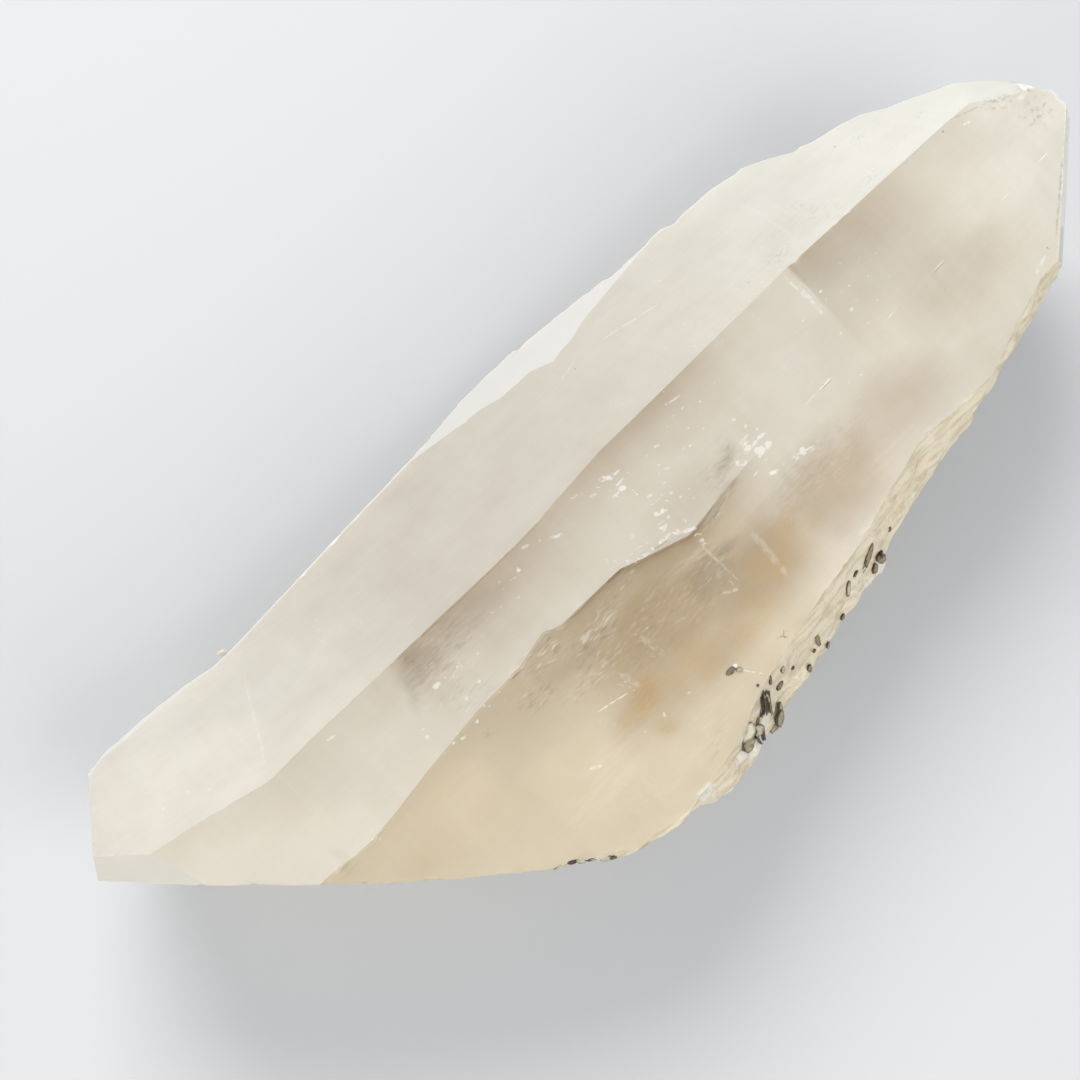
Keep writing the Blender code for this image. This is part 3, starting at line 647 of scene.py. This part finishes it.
def grid_face(bm, zone):
    """Cuts a flat end's face into a grid, so that it can carry relief."""
    layer = bm.faces.layers.int["zone"]
    faces = [f for f in bm.faces if f[layer] == zone]
    if not faces:
        return
    normal = max(faces, key=lambda f: f.calc_area()).normal.copy()
    first = normal.orthogonal().normalized()
    for axis in (first, normal.cross(first)):
        places = [v.co.dot(axis) for f in faces for v in f.verts]
        count = int((max(places) - min(places)) / END_STEP)
        for i in range(1, count):
            faces = [f for f in bm.faces if f[layer] == zone] if i == 1 else faces
            at = min(places) + (max(places) - min(places)) * i / count
            parts = set(faces)
            parts.update(e for f in faces for e in f.edges)
            parts.update(v for f in faces for v in f.verts)
            bmesh.ops.bisect_plane(
                bm, geom=list(parts), dist=1e-4, plane_co=axis * at, plane_no=axis
            )
            faces = [
                f for f in bm.faces
                if f[layer] == zone and max(v.co.dot(axis) for v in f.verts) > at + 0.01
            ]


def crystal_bmesh():
    """The crystal in millimetres as a fine mesh, lofted along its axis and cut off at its ends."""
    bm = bmesh.new()
    layer = bm.faces.layers.int.new("zone")
    count = round((LAST_STATION - FIRST_STATION) / STATION_STEP)
    rings = []
    for i in range(count + 1):
        x = FIRST_STATION + (LAST_STATION - FIRST_STATION) * i / count
        ring, zones = section(x)
        rings.append([bm.verts.new((x, y, z)) for y, z in ring])
    for ring, after in zip(rings, rings[1:]):
        for i, vertex in enumerate(ring):
            j = (i + 1) % len(ring)
            face = bm.faces.new((vertex, after[i], after[j], ring[j]))
            face[layer] = zones[i]
    for cap in (rings[0], reversed(rings[-1])):
        bm.faces.new(cap)[layer] = BEVEL
    bmesh.ops.recalc_face_normals(bm, faces=bm.faces)
    last = cut_ends(bm)
    for zone in range(FIRST_END, last + 1):
        grid_face(bm, zone)
    bmesh.ops.remove_doubles(bm, verts=bm.verts, dist=0.03)
    bmesh.ops.triangulate(bm, faces=[f for f in bm.faces if len(f.verts) > 4])
    bmesh.ops.recalc_face_normals(bm, faces=bm.faces)
    return bm


def noise_at(points, size, shift):
    """Noise from about -1 to 1 at each point, with waves of these lengths along the three axes."""
    scaled = points / np.array(size) + shift
    return np.array([noise.noise(Vector(p)) for p in scaled])


def waves(points, layers, shift):
    return sum(
        height * noise_at(points, size, shift + 7.3 * i) for i, (height, size) in enumerate(layers)
    )


def smooth_step(value):
    value = np.clip(value, 0, 1)
    return value * value * (3 - 2 * value)


def terraces(points, height, length, shift):
    """Shallow steps across the axis, each with a flat tread and a short riser."""
    place = points[:, 0] / length + 0.6 * noise_at(points, (9, 6, 6), shift)
    tread = np.floor(place)
    return height * (tread + smooth_step((place - tread - 0.8) / 0.2) - place)


def growth_steps(points, facing_up):
    """Fine steps that cross a face along a line. They fade out at the line's ends."""
    total = np.zeros(len(points))
    for start, end, height, width in GROWTH_STEPS:
        start, end = np.array(start), np.array(end)
        way = end - start
        length = np.hypot(*way)
        way = way / length
        offset = points[:, :2] - start
        far = offset @ way
        beside = offset @ np.array([-way[1], way[0]])
        fade = smooth_step(far / 1.5 + 0.5) * smooth_step((length - far) / 1.5 + 0.5)
        total += height * fade * np.exp(-((beside / width) ** 2)) * facing_up
    return total


def relief(points, normals, share):
    """How far each point of the mesh stands out, in millimetres. share gives its zones' shares."""
    faces = share[SIDE] + share[FRONT] + share[LOW_FRONT] + share[LEDGE_FACE] + share[BEVEL]
    faces = faces + sum(share[zone] for zone in SMOOTH_ENDS)
    broken = sum(share[zone] for zone in ROUGH_ENDS)
    back = share[BACK_SIDE] + share[BACK_FRONT]
    out = faces * waves(points, FACE_WAVES, 0.0)
    out += share[STRIP] * waves(points, STRIP_WAVES, 20.0)
    out += broken * waves(points, BREAK_WAVES, 40.0)
    out += back * (waves(points, BACK_WAVES, 60.0) + terraces(points, *BACK_TERRACE, 80.0))
    out += growth_steps(points, share[SIDE] + share[FRONT])
    for (x, y), radius, depth in HOLLOWS:
        distance = np.hypot(points[:, 0] - x, points[:, 1] - y) / radius
        rim = 1 + 0.35 * noise_at(points, (0.9, 0.9, 0.9), x)
        out -= depth * np.clip(rim - distance, 0, 1) * (normals[:, 2] > 0.2)
    # Nicks along the sharp edges
    on_edge = sum((part > 0).astype(float) for part in share.values()) > 1
    nick = np.clip(noise_at(points, (NICK_LENGTH,) * 3, 100.0) - NICK_LEVEL, 0, 1)
    out -= on_edge * NICK_DEPTH * nick / (1 - NICK_LEVEL)
    out[share[UNDER] > 0] = 0
    return out


def patch_strength(points, patches, shift):
    """The strongest of some soft patches at each point. Their outlines are uneven."""
    warp = 1.2 * noise_at(points, (4, 2.5, 4), shift)
    depth = (PATCH_TOP - points[:, 2]) / PATCH_DEPTH
    strongest = np.zeros(len(points))
    for (x, y), half_length, half_width, turn, strength in patches:
        dx, dy = points[:, 0] - x + warp, points[:, 1] - y + 0.6 * warp
        c, s = math.cos(math.radians(turn)), math.sin(math.radians(turn))
        distance = np.sqrt(
            ((dx * c + dy * s) / half_length) ** 2
            + ((dy * c - dx * s) / half_width) ** 2
            + np.clip(depth - 0.5, 0, 9) ** 2
        )
        strongest = np.maximum(strongest, strength * smooth_step(1.25 - distance))
    return strongest


def edge_shade(points, border, table):
    """How much darker a face is near its border, from a table of (x, strength, reach) rows."""
    at, strengths, reaches = zip(*table)
    x = points[:, 0]
    distance = np.abs(points[:, 1] - np.interp(x, *zip(*border)))
    return np.interp(x, at, strengths) * np.exp(-((distance / np.interp(x, at, reaches)) ** 1.3))


def shades(points):
    """How dark each zone's faces are at each point, from 0 to 1."""
    cloud = noise_at(points, (10, 7, 8), 31.0) + 0.5 * noise_at(points, (4, 3, 3.5), 37.0)
    across = noise_at(points, (1.1, 9, 9), 43.0)
    mottle = CLOUD_SHARE * cloud + LINE_SHARE * across
    side_mottle = 0.8 * mottle
    patches = patch_strength(points, TAN, 5.0)
    below_crest = edge_shade(points, CREST, CREST_SHADE)
    mottle = mottle + np.interp(points[:, 0], *zip(*FRONT_SHADE))
    front = np.maximum(below_crest, patches) + mottle
    fade = smooth_step((points[:, 0] - LOW_FADE[0]) / (LOW_FADE[1] - LOW_FADE[0]))
    low = np.maximum(edge_shade(points, LEDGE, LEDGE_SHADE), below_crest * fade)
    low = np.maximum(low, patches) + mottle
    side = np.interp(points[:, 0], *zip(*SIDE_SHADE)) + side_mottle
    return {FRONT: front, LEDGE_FACE: low, LOW_FRONT: low, SIDE: side, "other": mottle}


def line_marks(points, lines, upward):
    """Where each point lies beside its nearest line, as (along, across, strength)."""
    marks = np.zeros((len(points), 3))
    nearest = np.full(len(points), np.inf)
    for start, end, half_width, strength in lines:
        start, end = np.array(start), np.array(end)
        half = np.linalg.norm(end - start) / 2
        way = (end - start) / (2 * half)
        offset = points[:, :2] - (start + end) / 2
        far, beside = offset @ way, offset @ np.array([-way[1], way[0]])
        distance = np.hypot(np.maximum(np.abs(far) - half, 0), beside)
        here = distance < nearest
        nearest[here] = distance[here]
        shown = np.where(upward & (distance < LINE_REACH + half_width), strength, 0.0)
        marks[here] = np.column_stack([far / half, beside / half_width, shown])[here]
    return marks


def set_corner_attribute(mesh, name, zones, values):
    """A value on each face's corners, from the values that its zone has at the points."""
    points = np.empty(len(mesh.loops), np.int32)
    mesh.loops.foreach_get("vertex_index", points)
    sizes = np.empty(len(mesh.polygons), np.int32)
    mesh.polygons.foreach_get("loop_total", sizes)
    zone = np.repeat(zones, sizes)
    corners = values["other"][points]
    for key, at_points in values.items():
        corners = np.where(zone == key, at_points[points], corners) if key != "other" else corners
    attribute = mesh.attributes.new(name, "FLOAT", "CORNER")
    attribute.data.foreach_set("value", np.clip(corners, 0, 1).astype(np.float32))


def set_vector_attribute(mesh, name, values):
    attribute = mesh.attributes.new(name, "FLOAT_VECTOR", "POINT")
    attribute.data.foreach_set("vector", np.asarray(values, np.float32).ravel())


def crystal_piece(lowest, highest):
    bm = crystal_bmesh()
    layer = bm.faces.layers.int["zone"]
    for face in bm.faces:
        face.smooth = True
    for edge in bm.edges:
        zones = {face[layer] for face in edge.link_faces}
        edge.smooth = len(zones) < 2
    bm.normal_update()
    bm.verts.ensure_lookup_table()
    count = len(bm.verts)
    points = np.array([v.co for v in bm.verts])
    normals = np.array([v.normal for v in bm.verts])
    share = {zone: np.zeros(count) for zone in range(1, FIRST_END + len(ROUGH_ENDS + SMOOTH_ENDS))}
    for vertex in bm.verts:
        for face in vertex.link_faces:
            share[face[layer]][vertex.index] += 1 / len(vertex.link_faces)
    moved = points + normals * relief(points, normals, share)[:, None]
    for middle, radius in LUMPS:
        offset = moved - np.array(middle)
        distance = np.linalg.norm(offset, axis=1)
        near = (distance < radius) & (share[UNDER] == 0)
        reach = radius * (1 + 0.25 * noise_at(moved[near], (0.8, 0.8, 0.8), radius))
        push = reach / np.maximum(distance[near], 0.2)
        moved[near] = np.array(middle) + offset[near] * np.clip(push, 1, 3)[:, None]
    on_lump = np.zeros(count)
    for middle, radius in LUMPS:
        on_lump = np.maximum(on_lump, np.linalg.norm(moved - np.array(middle), axis=1) < 1.2 * radius)
    moved = np.clip(moved, np.array(lowest) / MM, np.array(highest) / MM)
    for vertex, place in zip(bm.verts, moved):
        vertex.co = place * MM
    mesh = bpy.data.meshes.new("quartz_crystal")
    bm.to_mesh(mesh)
    zones = np.array([face[layer] for face in bm.faces])
    bm.free()
    for name, members in FACE_MASKS.items():
        attribute = mesh.attributes.new(name, "FLOAT", "FACE")
        attribute.data.foreach_set("value", np.isin(zones, members).astype(np.float32))
    for i, (name, patches) in enumerate(PATCHES.items()):
        set_attribute(mesh, name, patch_strength(points, patches, 10.0 * i))
    set_corner_attribute(mesh, "shade", zones, shades(points))
    # Painted light: a white line along the thin outer edges of the bevel and the tip's end faces, as if light
    # glowed through them; on the lumps it is their own white
    borders = sum((share[zone] > 0).astype(float) for zone in share) > 1
    outer = sum(share[zone] for zone in (BEVEL, 12, 18)) > 0
    set_attribute(mesh, "rim", np.maximum(borders & outer, on_lump))
    low = 1 - smooth_step((points[:, 0] - LOW_FADE[0]) / (LOW_FADE[1] - LOW_FADE[0]))
    set_corner_attribute(mesh, "low", zones, {LOW_FRONT: low, LEDGE_FACE: low, "other": 0 * low})
    upward = normals[:, 2] > 0.2
    warp = np.column_stack([noise_at(points, (2.2, 1.4, 2.2), shift) for shift in (51, 52, 53)])
    set_vector_attribute(mesh, "bent", points + 0.45 * warp)
    wavy = points + 0.15 * warp
    set_vector_attribute(mesh, "pale_line", line_marks(wavy, PALE_LINES_AND_GLINTS, upward))
    set_vector_attribute(mesh, "dark_line", line_marks(wavy, DARK_LINES_AND_SHADOWS, upward))
    return link(bpy.data.objects.new("quartz_crystal", mesh))


def chip_piece():
    """The glassy chip: a small shard with uneven, flat sides."""
    bm = bmesh.new()
    bmesh.ops.create_icosphere(bm, subdivisions=1, radius=1)
    turn = Matrix.Rotation(math.radians(CHIP_TURN), 3, "Z")
    for vertex in bm.verts:
        reach = 1 + 0.7 * noise.noise(vertex.co * 1.7)
        size = Vector([a * b for a, b in zip(vertex.co, CHIP_SIZE)])
        vertex.co = (Vector(CHIP_PLACE) + turn @ size * reach) * MM
    mesh = bpy.data.meshes.new("quartz_chip")
    bm.to_mesh(mesh)
    bm.free()
    return link(bpy.data.objects.new("quartz_chip", mesh))


# Mica


def direction(azimuth, rise):
    around, up = math.radians(azimuth), math.radians(rise)
    return Vector((math.cos(around) * math.cos(up), math.sin(around) * math.cos(up), math.sin(up)))


def mica_sheet(bm, middle, axes, reach, thickness, draw, layers, tone):
    """One thin six-sided sheet with uneven, slightly broken edges. reach gives its half sizes."""
    start = draw.uniform(0, math.pi)
    outline = []
    for i in range(SHEET_CORNERS):
        angle = 2 * math.pi * i / SHEET_CORNERS
        # The distance from the middle of a hexagon to its side, in this direction
        inside = math.cos(math.pi / 6) / math.cos((angle - start) % (math.pi / 3) - math.pi / 6)
        inside *= draw.uniform(0.90, 1.06)
        outline.append((reach[0] * inside * math.cos(angle), reach[1] * inside * math.sin(angle)))
    low, high = [], []
    for x, y in outline:
        lift = SHEET_CURL * (x * x + y * y) / reach[0]
        low.append(bm.verts.new(middle + axes @ Vector((x, y, lift - thickness / 2))))
        high.append(bm.verts.new(middle + axes @ Vector((x, y, lift + thickness / 2))))
    for vertex in low + high:
        vertex[layers[1]] = 1.0
    bottom = bm.verts.new(middle + axes @ Vector((0, 0, -thickness / 2)))
    top = bm.verts.new(middle + axes @ Vector((0, 0, thickness / 2)))
    for i in range(SHEET_CORNERS):
        j = (i + 1) % SHEET_CORNERS
        faces = [
            bm.faces.new((low[j], low[i], bottom)),
            bm.faces.new((high[i], high[j], top)),
            bm.faces.new((low[i], low[j], high[j], high[i])),
        ]
        for face in faces:
            face[layers[0]] = tone


def mica_piece(name, books, seed):
    """Books of thin sheets, from rows like those of LOWER_BOOKS."""
    draw = random.Random(seed)
    bm = bmesh.new()
    layers = (bm.faces.layers.float.new("tone"), bm.verts.layers.float.new("outline"))
    for middle, (half_length, half_width, depth), facing, long_way, book_tone in books:
        facing, long_way = direction(*facing), direction(*long_way)
        count = max(2, round(depth / SHEET_SPACING))
        for i in range(count):
            tilt = Vector([draw.uniform(-1, 1) for _ in range(3)]) * SHEET_TILT
            out = (facing + tilt).normalized()
            first = (long_way - out * long_way.dot(out)).normalized()
            axes = Matrix((first, out.cross(first), out)).transposed()
            slip = Vector((draw.uniform(-1, 1), draw.uniform(-1, 1), 0)) * half_width * SHEET_SLIP
            slip.z = (i - (count - 1) / 2) * SHEET_SPACING
            scale = draw.uniform(0.8, 1.05)
            tone = min(max(book_tone + draw.uniform(-0.15, 0.15), 0), 1)
            mica_sheet(
                bm, Vector(middle) + axes @ slip, axes, (half_length * scale, half_width * scale),
                SHEET_THICKNESS * draw.uniform(0.7, 1.2), draw, layers, tone,
            )
    bmesh.ops.scale(bm, vec=(MM,) * 3, verts=bm.verts)
    mesh = bpy.data.meshes.new(name)
    bm.to_mesh(mesh)
    bm.free()
    return link(bpy.data.objects.new(name, mesh))


# Materials


class Nodes:
    """Short calls for making and linking a material's shader nodes."""

    def __init__(self, material):
        material.use_nodes = True
        self.tree = material.node_tree
        self.shader = self.tree.nodes["Principled BSDF"]
        self.output = self.tree.nodes["Material Output"]

    def feed(self, socket, value):
        if isinstance(value, bpy.types.NodeSocket):
            self.tree.links.new(value, socket)
        elif socket.type == "RGBA" and len(value) == 3:
            socket.default_value = (*value, 1.0)
        else:
            socket.default_value = value

    def node(self, kind, inputs, **settings):
        made = self.tree.nodes.new("ShaderNode" + kind)
        for name, value in settings.items():
            setattr(made, name, value)
        for name, value in inputs.items():
            self.feed(made.inputs[name], value)
        return made

    def attribute(self, name, output="Fac"):
        return self.node("Attribute", {}, attribute_name=name).outputs[output]

    def math(self, operation, first, second=0.0, clamp=False):
        inputs = {0: first, 1: second}
        return self.node("Math", inputs, operation=operation, use_clamp=clamp).outputs[0]

    def times(self, first, second):
        return self.math("MULTIPLY", first, second)

    def plus(self, first, second, clamp=False):
        return self.math("ADD", first, second, clamp)

    def most(self, *values):
        result = values[0]
        for value in values[1:]:
            result = self.math("MAXIMUM", result, value)
        return result

    def noise(self, place, scale, detail=3.0, roughness=0.5):
        inputs = {"Vector": place, "Scale": scale, "Detail": detail, "Roughness": roughness}
        return self.node("TexNoise", inputs).outputs["Fac"]

    def stretch(self, place, scale, turn=0.0):
        inputs = {"Vector": place, "Scale": scale, "Rotation": (0, 0, math.radians(turn))}
        return self.node("Mapping", inputs).outputs["Vector"]

    def ramp(self, value, low, high, to_low=0.0, to_high=1.0):
        """value from low to high becomes to_low to to_high, with smooth ends."""
        inputs = {
            "Value": value, "From Min": low, "From Max": high, "To Min": to_low, "To Max": to_high
        }
        return self.node("MapRange", inputs, interpolation_type="SMOOTHSTEP").outputs["Result"]

    def mix(self, share, first, second):
        inputs = {0: share, 6: first, 7: second}
        return self.node("Mix", inputs, data_type="RGBA").outputs[2]


def drawn_line(nodes, name, broken):
    """The strength of the lines in one attribute, 1 along each line and 0 beside it."""
    marks = nodes.node("SeparateXYZ", {0: nodes.attribute(name, "Vector")}).outputs
    along, across = (nodes.times(marks[axis], marks[axis]) for axis in "XY")
    away = nodes.plus(nodes.times(along, along), across)
    line = nodes.times(nodes.ramp(away, 1.2, 0.2), marks["Z"])
    return nodes.times(line, nodes.ramp(broken, 0.38, 0.56, 0.1, 0.95))


def quartz_colour(nodes, place, masks, grain):
    """The body's tone, with painted light towards the tip, then the patches and flaws in it, with painted
    glints and painted shadow along the ledge, then the zones with a look of their own, with painted light on
    the bevel, the base's end and the outer edges.
    """
    along_axis = nodes.node("SeparateXYZ", {0: place}).outputs["X"]
    bent = nodes.attribute("bent", "Vector")
    fine = nodes.noise(place, 1.3, 2.0)
    drawn = nodes.noise(nodes.stretch(place, (0.25, 1.6, 1.0)), 0.9, 2.0)
    fleck = nodes.noise(nodes.stretch(bent, (0.5, 2.2, 1.0), 8), 1.2, 1.0)

    colour = nodes.mix(nodes.attribute("low"), FRONT_PALE, LOW_PALE)
    colour = nodes.mix(masks["side"], colour, SIDE_PALE)
    # Painted light: the faces are paler towards the tip, most of all on the side face, where more light falls
    tip = nodes.times(nodes.ramp(along_axis, 20, 75), nodes.ramp(masks["side"], 0, 1, 0.35, 1.0))
    colour = nodes.mix(tip, colour, PAINTED_LIGHT_PALE)
    shade = nodes.plus(nodes.attribute("shade"), nodes.ramp(drawn, 0.3, 0.7, -0.02, 0.02), True)
    colour = nodes.mix(shade, colour, TAN_COLOUR)

    amber = nodes.times(nodes.attribute("amber"), nodes.ramp(fleck, 0.35, 0.6, 0.7, 1.0))
    colour = nodes.mix(amber, colour, AMBER_COLOUR)
    smoke = nodes.times(nodes.attribute("smoke"), nodes.ramp(fine, 0.3, 0.6, 0.8, 1.0))
    colour = nodes.mix(smoke, colour, SMOKE_COLOUR)
    haze = nodes.times(nodes.attribute("haze"), nodes.ramp(drawn, 0.35, 0.65, 0.1, 0.8))
    colour = nodes.mix(haze, colour, HAZE_COLOUR)
    pits = nodes.times(nodes.attribute("pitted"), nodes.ramp(grain, 0.53, 0.63, 0.0, 0.6))
    colour = nodes.mix(pits, colour, PIT_COLOUR)

    hatch = nodes.attribute("hatch")
    # Dark flecks and dark lines; the lines along the ledge's step are painted shadow
    dark = nodes.times(hatch, nodes.ramp(fleck, 0.54, 0.68, 0.0, 0.5))
    dark = nodes.most(dark, drawn_line(nodes, "dark_line", fine))
    colour = nodes.mix(nodes.times(dark, 0.8), colour, FLECK_AND_SHADOW_COLOUR)
    # Painted glints: white specks where light sparkles off small flaws inside the quartz
    specks = nodes.node(
        "TexVoronoi", {"Vector": nodes.stretch(bent, (0.8, 1.5, 1.0), 10), "Scale": 0.9}
    )
    size = nodes.node("SeparateColor", {0: specks.outputs["Color"]}).outputs[0]
    size = nodes.times(nodes.times(size, size), nodes.times(nodes.attribute("sparkle"), 0.88))
    ragged = nodes.plus(specks.outputs["Distance"], nodes.ramp(fine, 0.3, 0.7, -0.16, 0.30))
    bright = nodes.ramp(nodes.math("SUBTRACT", size, ragged), 0.0, 0.30, 0.0, 0.62)
    # Painted glints among the hatched flaws, then the white streaks, partly the quartz's own white veins and
    # partly painted glints
    glint = nodes.times(hatch, nodes.ramp(fleck, 0.44, 0.28, 0.0, 0.34))
    bright = nodes.most(bright, glint, drawn_line(nodes, "pale_line", fine))
    colour = nodes.mix(bright, colour, WHITE)

    # The bevel near white: partly its own white, partly painted light where the steep facet catches the light
    colour = nodes.mix(nodes.times(masks["bevel"], 0.9), colour, WHITE)
    strip_colour = nodes.mix(nodes.ramp(drawn, 0.32, 0.6), STRIP_DARK, STRIP_PALE)
    colour = nodes.mix(masks["strip"], colour, strip_colour)
    colour = nodes.mix(nodes.times(masks["broken"], 0.5), colour, STRIP_PALE)
    # Painted light: the base's end facets face away from the lamps and are painted paler
    colour = nodes.mix(nodes.times(masks["base_end"], 0.5), colour, PAINTED_LIGHT_PALE)
    colour = nodes.mix(nodes.times(masks["tip_end"], 0.6), colour, END_COLOUR)
    # Painted light along the thin outer edges, as if light glowed through them, and the lumps' own white
    rim = nodes.math("POWER", nodes.attribute("rim"), 2.0)
    return nodes.mix(nodes.times(rim, 0.7), colour, WHITE)


def quartz_material():
    """Milky quartz: a pale, see-through body with tan, amber and hazy patches and fine flaws, and with painted
    glints, painted shadow and painted light in its colour.
    """
    made = bpy.data.materials.new("quartz_body")
    nodes = Nodes(made)
    shader = nodes.shader
    metres = nodes.node("TexCoord", {}).outputs["Object"]
    place = nodes.node("VectorMath", {0: metres, "Scale": 1 / MM}, operation="SCALE").outputs[0]
    masks = {name: nodes.attribute(name) for name in FACE_MASKS}
    grain = nodes.noise(place, 1.6, 2.0)
    nodes.feed(shader.inputs["Base Color"], quartz_colour(nodes, place, masks, grain))

    rough = nodes.plus(masks["strip"], masks["broken"])
    nodes.feed(shader.inputs["Roughness"], nodes.ramp(rough, 0, 1, 0.36, 0.5))
    strength = nodes.ramp(rough, 0, 1, 0.06, 0.6)
    bump = nodes.node("Bump", {"Height": grain, "Strength": strength, "Distance": 0.0004})
    nodes.feed(shader.inputs["Normal"], bump.outputs["Normal"])

    shader.inputs["IOR"].default_value = 1.544
    shader.inputs["Transmission Weight"].default_value = 0.5
    inside = nodes.node("VolumeAbsorption", {"Color": (0.95, 0.87, 0.74), "Density": 18.0})
    nodes.tree.links.new(inside.outputs["Volume"], nodes.output.inputs["Volume"])
    return made


def mica_material():
    """Brown mica: thin, shiny sheets with darker outlines."""
    made = bpy.data.materials.new("mica_sheets")
    nodes = Nodes(made)
    shader = nodes.shader
    metres = nodes.node("TexCoord", {}).outputs["Object"]
    mottle = nodes.noise(metres, 1400.0, 2.0)
    tone = nodes.plus(nodes.attribute("tone"), nodes.ramp(mottle, 0.3, 0.7, -0.12, 0.12), True)
    colour = nodes.mix(nodes.ramp(tone, 0.0, 0.5), MICA_DARK, MICA_BROWN)
    colour = nodes.mix(nodes.ramp(tone, 0.45, 1.0), colour, MICA_PALE)
    outline = nodes.ramp(nodes.attribute("outline"), 0.65, 1.0, 0.0, 0.75)
    nodes.feed(shader.inputs["Base Color"], nodes.mix(outline, colour, MICA_DARK))
    nodes.feed(shader.inputs["Roughness"], nodes.ramp(mottle, 0.3, 0.7, 0.22, 0.40))
    shader.inputs["IOR"].default_value = 1.6
    return made


def main():
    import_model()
    cad_low, cad_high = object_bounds()
    add_camera()
    add_studio()
    crystal = crystal_piece(cad_low, cad_high)
    crystal.data.materials.append(quartz_material())
    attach(crystal, BODY)
    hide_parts("quartz_point")
    chip = chip_piece()
    chip.data.materials.append(crystal.data.materials[0])
    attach(chip, BODY)
    mica = mica_material()
    for name, (books, seed, node) in MICA_PIECES.items():
        piece = mica_piece(name, books, seed)
        piece.data.materials.append(mica)
        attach(piece, BODY)
        if node:
            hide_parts(node)


main()
